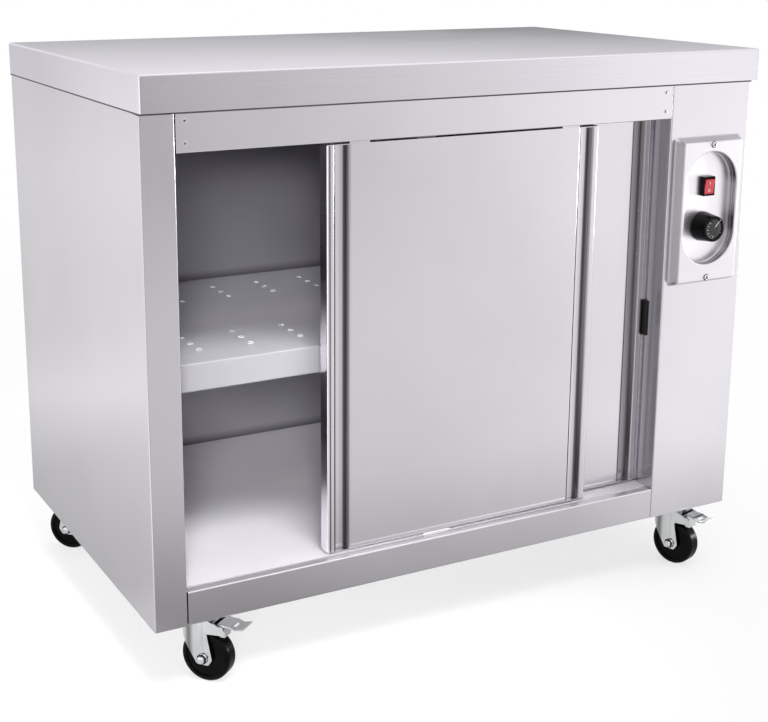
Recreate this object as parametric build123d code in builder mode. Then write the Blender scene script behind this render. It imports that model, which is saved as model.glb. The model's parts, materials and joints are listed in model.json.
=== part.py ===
from build123d import *
import math
import os

# Plate warmer cabinet: a heated stainless cupboard with two sliding doors,
# a control box at the right and four swivel casters.
# Millimetres. X runs to the right, Y to the back and Z up.
# The origin is on the ground below the middle of the worktop.

# overall sizes and the sheet they are folded from
overall_width = 1000
overall_depth = 600
overall_height = 850
caster_height = 106

sheet = 1.0
bend = 1.5
seam = 1.0
slack = 0.5

# worktop
worktop_sheet = 1.5
worktop_edge = 48
worktop_return = 14
worktop_corner = 2.5
front_overhang = 9.5
rear_overhang = 1
left_overhang = 1
right_overhang = 5
stiffener_width = 90
stiffener_depth = 28
stiffener_flange = 18

# front frame
stile_width = 47
fascia_width = 153
top_rail_height = 53
sill_height = 49
jamb_depth = 62
rail_lip = 13
side_flange = 16
fascia_return = 18
bottom_flange = 20

# heated chamber
chamber_rear_gap = 54
ceiling_drop = 32
floor_setback = 15
floor_skirt = 12
liner_flange = 15
shelf_height = 448
shelf_setback = 80
shelf_skirt = 40
shelf_side_gap = 0.5
shelf_rear_gap = 2
shelf_hole = 4
shelf_hole_pitch = 33.5
shelf_group_pitch = 79
shelf_group_count = 9
shelf_group_rows = 266
shelf_rail_leg = 18
shelf_rail_sheet = 1.5

# sliding doors
door_width = 451
door_sheet = 1.0
door_thickness = 21
front_door_setback = 16
door_spacing = 25
front_door_opened = 208
door_end_gap = 12
rear_door_gap = 4
door_floor_gap = 2.5
door_head_gap = 5
grip_lip = 12
grip_width = 21.5
grip_depth = 17
grip_bend = 2.4
hanger_width = 31
hanger_sheet = 1.5
hanger_spread = 350
hanger_margin = 4
roller_radius = 10
roller_width = 6
roller_chamfer = 0.6
roller_pin = 2.5
roller_head = 4.5
roller_head_width = 1
running_gap = 0.08
track_gap = 0.3
track_sheet = 1.5
track_setback = 12.5
track_foot = 8.5
track_foot_drop = 35
guide_length = 44
guide_inset = 10
guide_fin = 2.6
guide_fin_height = 12
guide_plate = 1.5
guide_slot = 5.5
guide_slot_margin = 4
bumper_height = 56
bumper_low = 403
bumper_width = 12
bumper_proud = 8
bumper_round = 1.5
stop_length = 30
stop_round = 2

# control box
plate_sheet = 1.2
plate_offset = 72
plate_width = 127
plate_height = 231
plate_centre_z = 604
plate_proud = 16
plate_bevel = 7
plate_corner = 4
plate_edge_round = 2
cup_width = 99
cup_height = 176
cup_centre_z = 609
cup_round = 2.2
fascia_hole_margin = 2
screw_radius = 4.2
screw_inset = 4.5
screw_shank = 2
switch_offset = 3
switch_z = 642
switch_width = 23
switch_height = 30
switch_proud = 8
switch_flange = 1.5
switch_corner = 1.5
switch_round = 0.8
switch_ease = 0.2
switch_body_depth = 26
switch_wall = 2.2
rocker_pin = 1.2
rocker_clear = 0.35
rocker_tilt = 8
rocker_inset = 3.2
rocker_back = 2.6
rocker_crest = 4.6
rocker_valley = 3.4
rocker_round = 0.8
knob_z = 578.5
knob_base_radius = 23.2
knob_face_radius = 20.3
knob_depth = 27
knob_standoff = 1
knob_dish = 1.2
knob_rim = 2.2
knob_round = 1.5
knob_wall = 8
spindle_radius = 3
spindle_flat = 1
spindle_gap = 1
thermostat_width = 42
thermostat_height = 52
thermostat_depth = 32
thermostat_round = 3
collar_radius = 5
collar_length = 5
capillary_radius = 1
capillary_bend = 12
probe_reach = 28
probe_y = 20
probe_drop = 6
bulb_radius = 3
bulb_length = 90
bulb_setback = 40

# heating and wiring
element_radius = 4
element_spread = 160
element_bend = 60
element_far_x = -380
element_tail = 24
element_flange = 20
element_flange_sheet = 2
element_z = 24
insulation_gap = 8
gland_z = 180
gland_inset = 75
gland_bore = 4.5
gland_thread = 8
gland_hex = 12
gland_nut = 11
gland_nut_height = 8
gland_proud = 13
gland_dome_wall = 2
gland_dome_round = 2.5
wire_radius = 2
wire_lift = 60
wire_setback = 40
wire_bend = 5
terminal_length = 50
terminal_height = 22
terminal_depth = 18
terminal_corner = 1.5
terminal_hole = 2
terminal_hole_depth = 4
terminal_y = 150
terminal_z = 300

# casters
wheel_radius = 37.5
wheel_width = 27
wheel_round = 7
web_radius = 28
web_depth = 1.5
wheel_trail = 26
hub_radius = 13
hub_width = 31
axle_radius = 4
axle_washer = 6.8
axle_washer_width = 2
axle_end = 5
axle_end_width = 4.5
fork_sheet = 2.5
fork_gap = 32
fork_crown_z = 95.7
fork_crown_end = 36
fork_front = 6
fork_back = 14
fork_shoulder_z = 76
fork_waist_z = 46
fork_tip = 9
fork_chin = 15
fork_throat = 7
fork_ear = 7
fork_round = 4
fork_blank = 70
kingpin_radius = 5
kingpin_head = 8
kingpin_head_height = 2.5
raceway_radius = 22
raceway_round = 3
pad_length = 66
pad_width = 90
pad_sheet = 2.5
pad_corner = 6
inset_left = 75
inset_right = 75
inset_front = 58
inset_rear = 46
pedal_pivot_x = 54
pedal_pivot_z = 85
pedal_width = 29
pedal_sheet = 2
pedal_pin = 2.5
pedal_lift = 6
pedal_tail = 6
pedal_flat = 12
pedal_dip = 3
pedal_dip_x = 22
pedal_reach = 34
pedal_bend = 4
pedal_block = 10
pedal_shoe = 8
pedal_shoe_width = 18
pedal_shoe_drop = 14
pedal_slot_x = 17
pedal_slot_length = 14
pedal_slot_width = 5

# derived planes
half = sheet / 2
top_z = overall_height
body_top = top_z - worktop_edge
body_bottom = caster_height
left_x = -overall_width / 2 + left_overhang
right_x = overall_width / 2 - right_overhang
front_y = -overall_depth / 2 + front_overhang
rear_y = overall_depth / 2 - rear_overhang
opening_left = left_x + stile_width
opening_right = right_x - fascia_width
opening_width = opening_right - opening_left
opening_middle = (opening_left + opening_right) / 2
sill_top = body_bottom + sill_height
head_z = body_top - top_rail_height
floor_top = sill_top + sheet
base_top = body_bottom + 2 * sheet
liner_front = front_y + rail_lip + sheet
liner_rear = rear_y - chamber_rear_gap
ceiling_z = body_top - ceiling_drop
chamber_left = opening_left - sheet
chamber_right = opening_right + sheet
door_bottom = floor_top + door_floor_gap
door_top = head_z - door_head_gap
door_height = door_top - door_bottom
rest_front_door = opening_left + door_end_gap + front_door_opened
rest_rear_door = opening_right - rear_door_gap - door_width
leftmost_door_end = opening_left + door_end_gap + door_width
front_door_y = front_y + front_door_setback
rear_door_y = front_door_y + door_spacing
track_top = body_top - sheet
track_foot_z = track_top - track_foot_drop
roller_z = track_foot_z + track_gap + roller_radius
front_web_y = front_door_y + track_setback
rear_web_y = rear_door_y + track_setback
plate_x = opening_right + plate_offset
gland_x = right_x - gland_inset
element_level = body_bottom + element_z
partition_x = opening_right + sheet

os.makedirs("parts", exist_ok=True)


def save(builder, name):
    """Labels a finished piece and writes it as its own STEP file."""
    builder.part.label = name
    export_step(builder.part, f"parts/{name}.step")


def folded(points, plane, length, thickness=sheet, radius=bend):
    """Adds a folded strip: its centre line on the plane, traced to the sheet's thickness and extruded."""
    with BuildSketch(plane) as strip:
        with BuildLine():
            FilletPolyline(*points, radius=radius)
        trace(line_width=thickness)
    extrude(strip.sketch, amount=length)


def block(low, high, mode=Mode.ADD):
    """Adds or cuts a plain block between two opposite corners."""
    size = [b - a for a, b in zip(low, high)]
    with Locations(tuple((a + b) / 2 for a, b in zip(low, high))):
        Box(*size, mode=mode)


# worktop: a folded tray, open below, with a return all round
with BuildPart() as worktop:
    with BuildSketch(Plane.XY.offset(body_top)):
        Rectangle(overall_width, overall_depth)
    extrude(amount=worktop_edge)
    fillet(worktop.edges().filter_by(Axis.Z), worktop_corner)
    fillet(worktop.faces().sort_by(Axis.Z)[-1].edges(), worktop_corner)
    with BuildSketch(Plane.XY.offset(body_top + worktop_sheet)):
        Rectangle(overall_width - 2 * worktop_sheet, overall_depth - 2 * worktop_sheet)
    extrude(amount=worktop_edge - 2 * worktop_sheet, mode=Mode.SUBTRACT)
    with BuildSketch(Plane.XY.offset(body_top)):
        Rectangle(overall_width - 2 * worktop_return, overall_depth - 2 * worktop_return)
    extrude(amount=worktop_sheet, mode=Mode.SUBTRACT)
save(worktop, "worktop")

stiffener_top = top_z - worktop_sheet - half
with BuildPart() as worktop_stiffener:
    folded(
        [
            (-stiffener_width / 2 - stiffener_flange, stiffener_top),
            (-stiffener_width / 2, stiffener_top),
            (-stiffener_width / 2, stiffener_top - stiffener_depth),
            (stiffener_width / 2, stiffener_top - stiffener_depth),
            (stiffener_width / 2, stiffener_top),
            (stiffener_width / 2 + stiffener_flange, stiffener_top),
        ],
        Plane.YZ.offset(-overall_width / 2 + worktop_return),
        overall_width - 2 * worktop_return,
    )
save(worktop_stiffener, "worktop_stiffener")

# outer skin: sides, fascia, back and base
skin_height = body_top - body_bottom
jamb_cut_top = base_top + slack
with BuildPart() as left_side_panel:
    folded(
        [
            (opening_left - half, front_y + jamb_depth),
            (opening_left - half, front_y + half),
            (left_x + half, front_y + half),
            (left_x + half, rear_y - half - sheet),
            (left_x + side_flange, rear_y - half - sheet),
        ],
        Plane.XY.offset(body_bottom),
        skin_height,
    )
    block(
        (opening_left - 2 * sheet, front_y + 3 * bend, body_bottom),
        (opening_left + sheet, front_y + jamb_depth + sheet, jamb_cut_top),
        mode=Mode.SUBTRACT,
    )
save(left_side_panel, "left_side_panel")

side_start = front_y + fascia_return + seam
with BuildPart() as right_side_panel:
    folded(
        [
            (right_x - side_flange, side_start + half),
            (right_x - half, side_start + half),
            (right_x - half, rear_y - half - sheet),
            (right_x - side_flange, rear_y - half - sheet),
        ],
        Plane.XY.offset(body_bottom),
        skin_height,
    )
save(right_side_panel, "right_side_panel")

fascia_hole_width = cup_width + 2 * plate_sheet + 2 * fascia_hole_margin
fascia_hole_height = cup_height + 2 * plate_sheet + 2 * fascia_hole_margin
plate_front = Plane.XZ.offset(-front_y)
with BuildPart() as control_fascia:
    folded(
        [
            (opening_right + half, front_y + jamb_depth),
            (opening_right + half, front_y + half),
            (right_x - half, front_y + half),
            (right_x - half, front_y + fascia_return),
        ],
        Plane.XY.offset(body_bottom),
        skin_height,
    )
    block(
        (opening_right - sheet, front_y + 3 * bend, body_bottom),
        (opening_right + 2 * sheet, front_y + jamb_depth + sheet, jamb_cut_top),
        mode=Mode.SUBTRACT,
    )
    with BuildSketch(plate_front):
        with Locations((plate_x, cup_centre_z)):
            SlotOverall(fascia_hole_height, fascia_hole_width, rotation=90)
        with Locations(
            (plate_x, plate_centre_z + plate_height / 2 - plate_bevel - screw_inset),
            (plate_x, plate_centre_z - plate_height / 2 + plate_bevel + screw_inset),
        ):
            Circle(screw_shank + running_gap)
    extrude(amount=-2 * sheet, mode=Mode.SUBTRACT)
save(control_fascia, "control_fascia")

with BuildPart() as back_panel:
    block((left_x + sheet, rear_y - sheet, body_bottom), (right_x - sheet, rear_y, body_top))
    with BuildSketch(Plane.XZ.offset(-rear_y)):
        with Locations((gland_x, gland_z)):
            Circle(gland_thread + running_gap)
    extrude(amount=2 * sheet, both=True, mode=Mode.SUBTRACT)
save(back_panel, "back_panel")

pan_front = front_y + 3 * bend + slack
pan_rear = rear_y - 2 * sheet - bend
with BuildPart() as base_pan:
    folded(
        [
            (left_x + sheet + half, base_top + bottom_flange),
            (left_x + sheet + half, base_top - half),
            (right_x - sheet - half, base_top - half),
            (right_x - sheet - half, base_top + bottom_flange),
        ],
        Plane.XZ.offset(-(pan_rear)),
        pan_rear - side_start - 2 * sheet,
    )
    block(
        (opening_left, pan_front, base_top - sheet),
        (opening_right, side_start + 2 * sheet + 1, base_top),
    )
save(base_pan, "base_pan")

# front rails and upper track
rail_start = opening_left + seam
rail_length = opening_width - 2 * seam
with BuildPart() as top_rail:
    folded(
        [
            (front_y + side_flange, body_top - half),
            (front_y + half, body_top - half),
            (front_y + half, head_z + half),
            (front_y + rail_lip, head_z + half),
            (front_y + rail_lip, head_z + half + rail_lip / 2),
        ],
        Plane.YZ.offset(rail_start),
        rail_length,
    )
save(top_rail, "top_rail")

with BuildPart() as sill_rail:
    folded(
        [
            (front_y + bottom_flange, body_bottom + half),
            (front_y + half, body_bottom + half),
            (front_y + half, sill_top - half),
            (front_y + jamb_depth + bottom_flange, sill_top - half),
            (front_y + jamb_depth + bottom_flange, sill_top - bottom_flange),
        ],
        Plane.YZ.offset(rail_start),
        rail_length,
    )
save(sill_rail, "sill_rail")

with BuildPart() as door_track:
    block(
        (rail_start, front_y + rail_lip + sheet, track_top - track_sheet),
        (rail_start + rail_length, rear_web_y + track_sheet, track_top),
    )
    for web_y in (front_web_y, rear_web_y):
        block(
            (rail_start, web_y, track_foot_z - track_sheet),
            (rail_start + rail_length, web_y + track_sheet, track_top - track_sheet),
        )
        block(
            (rail_start, web_y - track_foot, track_foot_z - track_sheet),
            (rail_start + rail_length, web_y, track_foot_z),
        )
save(door_track, "door_track")

# heated chamber: liners, floor, shelf and its rails
with BuildPart() as liner_left:
    block(
        (chamber_left - sheet, liner_front, base_top),
        (chamber_left, liner_rear + sheet, ceiling_z),
    )
save(liner_left, "liner_left")

element_ys = (-element_spread / 2, element_spread / 2)
probe_z = element_level - probe_drop
with BuildPart() as partition:
    block(
        (partition_x, liner_front, base_top),
        (partition_x + sheet, rear_y - 3 * sheet, body_top - 2 * sheet),
    )
    with BuildSketch(Plane.YZ.offset(partition_x)):
        with Locations((element_ys[0], element_level), (element_ys[1], element_level)):
            Circle(element_radius + slack)
        with Locations((probe_y, probe_z)):
            Circle(bulb_radius + slack)
    extrude(amount=sheet, mode=Mode.SUBTRACT)
    block(
        (partition_x, liner_front, track_foot_z - 2 * track_sheet),
        (partition_x + sheet, rear_web_y + 2 * track_sheet, body_top),
        mode=Mode.SUBTRACT,
    )
save(partition, "partition")

with BuildPart() as liner_back:
    folded(
        [
            (liner_rear - liner_flange, sill_top - half),
            (liner_rear + half, sill_top - half),
            (liner_rear + half, ceiling_z + half),
            (rear_web_y + track_sheet + slack, ceiling_z + half),
        ],
        Plane.YZ.offset(chamber_left),
        chamber_right - chamber_left,
    )
save(liner_back, "liner_back")

with BuildPart() as insulation_back:
    block(
        (chamber_left, liner_rear + sheet, base_top),
        (chamber_right, rear_y - sheet - insulation_gap, ceiling_z - bend),
    )
save(insulation_back, "insulation_back")

with BuildPart() as chamber_floor:
    block(
        (opening_left + slack, front_y + floor_setback, sill_top),
        (opening_right - slack, liner_rear - bend, floor_top),
    )
    for x in (opening_left + slack, opening_right - slack - sheet):
        block(
            (x, front_y + jamb_depth + bottom_flange + 2 * sheet, sill_top - floor_skirt),
            (x + sheet, liner_rear - liner_flange - slack, sill_top),
        )
save(chamber_floor, "chamber_floor")

shelf_front = front_y + shelf_setback
shelf_rear = liner_rear - shelf_rear_gap
shelf_middle = (shelf_front + shelf_rear) / 2
with BuildPart() as shelf:
    folded(
        [
            (shelf_front + bottom_flange, shelf_height - shelf_skirt + half),
            (shelf_front + half, shelf_height - shelf_skirt + half),
            (shelf_front + half, shelf_height - half),
            (shelf_rear - half, shelf_height - half),
            (shelf_rear - half, shelf_height - shelf_skirt + half),
            (shelf_rear - bottom_flange, shelf_height - shelf_skirt + half),
        ],
        Plane.YZ.offset(chamber_left + shelf_side_gap),
        chamber_right - chamber_left - 2 * shelf_side_gap,
    )
    with BuildSketch(Plane.XY.offset(shelf_height)):
        with Locations((opening_middle, shelf_middle)):
            with GridLocations(0, shelf_group_rows, 1, 2):
                with GridLocations(shelf_group_pitch, shelf_hole_pitch, shelf_group_count, 3):
                    Circle(shelf_hole)
    extrude(amount=-2 * sheet, mode=Mode.SUBTRACT)
save(shelf, "shelf")

rail_front = shelf_front + bottom_flange + 2 * sheet
rail_rear = shelf_rear - bottom_flange - 2 * sheet
rail_top = shelf_height - sheet
rail_half = shelf_rail_sheet / 2
for name, wall_x, way in (("left", chamber_left, 1), ("right", chamber_right, -1)):
    with BuildPart() as shelf_rail:
        folded(
            [
                (wall_x + way * rail_half, rail_top - shelf_rail_leg),
                (wall_x + way * rail_half, rail_top - rail_half),
                (wall_x + way * shelf_rail_leg, rail_top - rail_half),
            ],
            Plane.XZ.offset(-rail_rear),
            rail_rear - rail_front,
            thickness=shelf_rail_sheet,
        )
    save(shelf_rail, f"shelf_rail_{name}")

# sliding doors
skin_bottom = door_bottom + door_sheet
skin_top = door_top - door_sheet
door_half = door_sheet / 2
hanger_top = roller_z + roller_pin + hanger_sheet + hanger_margin
guide_x = (rest_rear_door + leftmost_door_end) / 2
slot_inset = grip_lip + grip_width + guide_slot_margin


def door(name, start_x, face_y):
    """Builds one sliding door: its skin with two grip channels, its pan with hangers, and two rollers."""
    end_x = start_x + door_width
    middle_x = (start_x + end_x) / 2
    outer_y = face_y + door_half
    inner_y = face_y + grip_depth + door_half
    back_y = face_y + door_thickness
    with BuildPart() as skin:
        folded(
            [
                (start_x + door_half, back_y),
                (start_x + door_half, outer_y),
                (start_x + grip_lip - door_half, outer_y),
                (start_x + grip_lip - door_half, inner_y),
                (start_x + grip_lip + grip_width + door_half, inner_y),
                (start_x + grip_lip + grip_width + door_half, outer_y),
                (end_x - grip_lip - grip_width - door_half, outer_y),
                (end_x - grip_lip - grip_width - door_half, inner_y),
                (end_x - grip_lip + door_half, inner_y),
                (end_x - grip_lip + door_half, outer_y),
                (end_x - door_half, outer_y),
                (end_x - door_half, back_y),
            ],
            Plane.XY.offset(skin_bottom),
            skin_top - skin_bottom,
            thickness=door_sheet,
            radius=grip_bend,
        )
    save(skin, f"{name}_skin")

    guide_y = face_y + guide_inset
    hanger_y = face_y + door_sheet
    stud_y = hanger_y + hanger_sheet
    roller_y = stud_y + slack
    head_y = roller_y + roller_width + slack
    hanger_xs = [middle_x - hanger_spread / 2, middle_x + hanger_spread / 2]
    with BuildPart() as pan:
        block(
            (start_x + door_sheet, back_y - door_sheet, door_bottom),
            (end_x - door_sheet, back_y, door_top),
        )
        for z in (door_bottom, skin_top):
            block((start_x, face_y, z), (end_x, back_y, z + door_sheet))
        for x in hanger_xs:
            block(
                (x - hanger_width / 2, hanger_y, skin_top),
                (x + hanger_width / 2, hanger_y + hanger_sheet, hanger_top),
            )
        with BuildSketch(Plane.XZ.offset(-stud_y)):
            with Locations(*[(x, roller_z) for x in hanger_xs]):
                Circle(roller_pin)
        extrude(amount=-(head_y - stud_y))
        with BuildSketch(Plane.XZ.offset(-head_y)):
            with Locations(*[(x, roller_z) for x in hanger_xs]):
                Circle(roller_head)
        extrude(amount=-roller_head_width)
        block(
            (start_x + slot_inset, guide_y - guide_slot / 2, door_bottom),
            (end_x - slot_inset, guide_y + guide_slot / 2, skin_bottom),
            mode=Mode.SUBTRACT,
        )
    save(pan, f"{name}_pan")

    for side, x in zip(("left", "right"), hanger_xs):
        with BuildPart() as roller:
            with BuildSketch(Plane.XZ.offset(-roller_y)):
                with Locations((x, roller_z)):
                    Circle(roller_radius)
                    Circle(roller_pin + running_gap, mode=Mode.SUBTRACT)
            extrude(amount=-roller_width)
            rims = roller.edges().filter_by(GeomType.CIRCLE).sort_by(SortBy.RADIUS)[-2:]
            chamfer(rims, roller_chamfer)
        save(roller, f"{name}_roller_{side}")


door("front_door", rest_front_door, front_door_y)
door("rear_door", rest_rear_door, rear_door_y)

with BuildPart() as door_guide:
    block(
        (guide_x - guide_length / 2, front_door_y, floor_top),
        (guide_x + guide_length / 2, rear_door_y + door_thickness, floor_top + guide_plate),
    )
    for fin_y in (front_door_y + guide_inset, rear_door_y + guide_inset):
        block(
            (guide_x - guide_length / 2, fin_y - guide_fin / 2, floor_top + guide_plate),
            (guide_x + guide_length / 2, fin_y + guide_fin / 2, floor_top + guide_fin_height),
        )
save(door_guide, "door_guide")

bumper_front = rear_door_y - bumper_proud
with BuildPart() as door_bumper:
    block(
        (opening_right - rear_door_gap + slack, bumper_front, bumper_low),
        (opening_right, bumper_front + bumper_width, bumper_low + bumper_height),
    )
    fillet(door_bumper.faces().sort_by(Axis.X)[0].edges(), bumper_round)
save(door_bumper, "door_bumper")

left_roller_x = rest_front_door - front_door_opened + door_width / 2 - hanger_spread / 2
with BuildPart() as front_door_stop:
    block(
        (left_roller_x - roller_radius - slack - stop_length, front_web_y - track_foot, track_foot_z),
        (left_roller_x - roller_radius - slack, front_web_y, roller_z + roller_radius),
    )
    fillet(front_door_stop.edges().filter_by(Axis.Y).group_by(Axis.X)[-1], stop_round)
save(front_door_stop, "front_door_stop")

# control box: bevelled plate with an obround cup, switch and thermostat
face_plane = Plane.XZ.offset(-front_y + plate_proud)
bevel_angle = math.degrees(math.atan(plate_bevel / plate_proud))
screw_points = [
    (plate_x, plate_centre_z + plate_height / 2 - plate_bevel - screw_inset),
    (plate_x, plate_centre_z - plate_height / 2 + plate_bevel + screw_inset),
]
switch_x = plate_x + switch_offset
hole_width = switch_width - 2 * switch_flange
hole_height = switch_height - 2 * switch_flange
with BuildPart() as control_plate:
    with BuildSketch(plate_front):
        with Locations((plate_x, plate_centre_z)):
            RectangleRounded(plate_width, plate_height, plate_corner)
    extrude(amount=plate_proud, taper=bevel_angle)
    fillet(control_plate.faces().sort_by(Axis.Y)[0].edges(), plate_edge_round)
    with BuildSketch(plate_front):
        with Locations((plate_x, plate_centre_z)):
            RectangleRounded(
                plate_width - 2 * plate_sheet,
                plate_height - 2 * plate_sheet,
                plate_corner - plate_sheet,
            )
    extrude(amount=plate_proud - plate_sheet, taper=bevel_angle, mode=Mode.SUBTRACT)
    with BuildSketch(Plane.XZ.offset(-front_y - plate_sheet)):
        with Locations((plate_x, cup_centre_z)):
            SlotOverall(cup_height + 2 * plate_sheet, cup_width + 2 * plate_sheet, rotation=90)
    extrude(amount=plate_proud + plate_sheet / 2)
    with BuildSketch(plate_front):
        with Locations((plate_x, cup_centre_z)):
            SlotOverall(cup_height, cup_width, rotation=90)
    extrude(amount=plate_proud + plate_sheet, mode=Mode.SUBTRACT)
    with BuildSketch(plate_front):
        with Locations((switch_x, switch_z)):
            Rectangle(hole_width, hole_height)
        with Locations((plate_x, knob_z)):
            Circle(collar_radius + running_gap)
    extrude(amount=-2 * plate_sheet, mode=Mode.SUBTRACT)
    with BuildSketch(face_plane):
        with Locations(*screw_points):
            Circle(screw_shank + running_gap)
    extrude(amount=-2 * plate_sheet, mode=Mode.SUBTRACT)
    cup_rim = control_plate.faces().sort_by(Axis.Y)[0].inner_wires().sort_by(SortBy.LENGTH)[-1]
    fillet(cup_rim.edges(), cup_round)
save(control_plate, "control_plate")

for place, point in zip(("upper", "lower"), screw_points):
    with BuildPart() as plate_screw:
        with BuildSketch(face_plane):
            with Locations(point):
                Circle(screw_radius)
        extrude(amount=screw_radius / 2)
        fillet(plate_screw.faces().sort_by(Axis.Y)[0].edges(), screw_radius / 3)
        with BuildSketch(face_plane):
            with Locations(point):
                Circle(screw_shank)
        extrude(amount=-(plate_proud + 4 * sheet))
        with BuildSketch(face_plane.offset(screw_radius / 2)):
            with Locations(point):
                Rectangle(screw_radius, screw_radius / 5, rotation=35)
                Rectangle(screw_radius / 5, screw_radius, rotation=35)
        extrude(amount=-screw_radius / 3, mode=Mode.SUBTRACT)
    save(plate_screw, f"plate_screw_{place}")

rocker_width = switch_width - 2 * switch_wall - 2 * rocker_clear
rocker_height = switch_height - 2 * switch_wall - 6 * rocker_clear
pocket_width = switch_width - 2 * switch_wall
pocket_height = switch_height - 2 * switch_wall
rocker_pivot_y = front_y - switch_proud + rocker_inset
neck_width = hole_width - 2 * switch_ease
neck_height = hole_height - 2 * switch_ease
with BuildPart() as switch_body:
    block(
        (switch_x - switch_width / 2, front_y - switch_proud, switch_z - switch_height / 2),
        (switch_x + switch_width / 2, front_y, switch_z + switch_height / 2),
    )
    fillet(switch_body.edges().filter_by(Axis.Y), switch_corner)
    fillet(switch_body.faces().sort_by(Axis.Y)[0].edges(), switch_round)
    block(
        (switch_x - neck_width / 2, front_y, switch_z - neck_height / 2),
        (switch_x + neck_width / 2, front_y + switch_body_depth, switch_z + neck_height / 2),
    )
    block(
        (switch_x - pocket_width / 2, front_y - switch_proud - 1, switch_z - pocket_height / 2),
        (switch_x + pocket_width / 2, front_y, switch_z + pocket_height / 2),
        mode=Mode.SUBTRACT,
    )
    with BuildSketch(Plane.YZ.offset(switch_x)):
        with Locations((rocker_pivot_y, switch_z)):
            Circle(rocker_pin + running_gap)
    extrude(amount=pocket_width / 2 + switch_wall / 2, both=True, mode=Mode.SUBTRACT)
save(switch_body, "switch_body")

rocker_centre = (switch_x, rocker_pivot_y, switch_z)
rocker_plane = Plane(origin=rocker_centre, x_dir=(0, 1, 0), z_dir=(1, 0, 0))
with BuildPart() as power_rocker:
    with BuildSketch(rocker_plane):
        with BuildLine():
            Polyline(
                (rocker_back, -rocker_height / 2 + rocker_round),
                (rocker_back, rocker_height / 2 - rocker_round),
                (-rocker_crest, rocker_height / 2),
                (-rocker_valley, 0),
                (-rocker_crest, -rocker_height / 2),
                close=True,
            )
        make_face()
    extrude(amount=rocker_width / 2, both=True)
    fillet(power_rocker.edges().filter_by(Axis.X).group_by(Axis.Y)[0], rocker_round)
    with BuildSketch(rocker_plane):
        Circle(rocker_pin)
    extrude(amount=rocker_width / 2 + rocker_clear + switch_wall / 3, both=True)
rocker_axis = Axis(rocker_centre, (1, 0, 0))
with BuildPart() as tilted_rocker:
    add(power_rocker.part.rotate(rocker_axis, rocker_tilt))
save(tilted_rocker, "power_rocker")

body_back = front_y + plate_sheet
body_end = body_back + thermostat_depth
with BuildPart() as thermostat_body:
    block(
        (plate_x - thermostat_width / 2, body_back, knob_z - thermostat_height / 2),
        (plate_x + thermostat_width / 2, body_end, knob_z + thermostat_height / 2),
    )
    fillet(thermostat_body.edges().filter_by(Axis.Y), thermostat_round)
    with BuildSketch(Plane.XZ.offset(-body_back)):
        with Locations((plate_x, knob_z)):
            Circle(collar_radius)
    extrude(amount=collar_length)
    with BuildSketch(Plane.XZ.offset(-body_back + collar_length)):
        with Locations((plate_x, knob_z)):
            Circle(spindle_radius + running_gap)
    extrude(amount=-(collar_length + thermostat_depth / 2), mode=Mode.SUBTRACT)
save(thermostat_body, "thermostat_body")

knob_back = front_y - knob_standoff
spindle_reach = knob_depth - knob_wall
spindle_back = body_back + thermostat_depth / 2 - spindle_gap
spindle_tip = knob_back - spindle_reach + spindle_gap
with BuildPart() as thermostat_spindle:
    with BuildSketch(Plane.XZ.offset(-spindle_back)):
        with Locations((plate_x, knob_z)):
            Circle(spindle_radius)
    extrude(amount=spindle_back - spindle_tip)
    block(
        (plate_x - spindle_radius, knob_back - spindle_reach, knob_z + spindle_radius - spindle_flat),
        (plate_x + spindle_radius, body_back - collar_length - slack, knob_z + spindle_radius),
        mode=Mode.SUBTRACT,
    )
save(thermostat_spindle, "thermostat_spindle")

knob_slope = (knob_base_radius - knob_face_radius) / (knob_depth - knob_rim)
with BuildPart() as thermostat_knob:
    with BuildSketch(Plane.XZ.offset(-knob_back)):
        with Locations((plate_x, knob_z)):
            Circle(knob_base_radius)
    extrude(amount=knob_depth, taper=math.degrees(math.atan(knob_slope)))
    fillet(thermostat_knob.faces().sort_by(Axis.Y)[0].edges(), knob_round)
    with BuildSketch(Plane.XZ.offset(-knob_back + knob_depth)):
        with Locations((plate_x, knob_z)):
            Circle(knob_face_radius - 2 * knob_rim)
    extrude(amount=-knob_dish, mode=Mode.SUBTRACT)
    with BuildSketch(Plane.XZ.offset(-knob_back)):
        with Locations((plate_x, knob_z)):
            Circle(spindle_radius)
        with Locations((plate_x, knob_z + spindle_radius)):
            Rectangle(2 * spindle_radius, 2 * spindle_flat, mode=Mode.SUBTRACT)
    extrude(amount=spindle_reach, mode=Mode.SUBTRACT)
    with BuildSketch(Plane.XZ.offset(-knob_back)):
        with Locations((plate_x, knob_z)):
            Circle(collar_radius + slack)
    extrude(amount=collar_length, mode=Mode.SUBTRACT)
save(thermostat_knob, "thermostat_knob")

# heating element, probe, terminals, gland and wiring
probe_turn_y = body_end + probe_reach
bulb_end = partition_x - bulb_setback
with BuildPart() as thermostat_probe:
    with BuildLine(mode=Mode.PRIVATE) as capillary:
        FilletPolyline(
            (plate_x, body_end, knob_z),
            (plate_x, probe_turn_y, knob_z),
            (plate_x, probe_turn_y, probe_z),
            (plate_x, probe_y, probe_z),
            (bulb_end, probe_y, probe_z),
            radius=capillary_bend,
        )
    with BuildSketch(Plane.XZ.offset(-body_end)):
        with Locations((plate_x, knob_z)):
            Circle(capillary_radius)
    sweep(path=capillary.line)
    with BuildSketch(Plane.YZ.offset(bulb_end)):
        with Locations((probe_y, probe_z)):
            Circle(bulb_radius)
    extrude(amount=-bulb_length)
save(thermostat_probe, "thermostat_probe")

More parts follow.
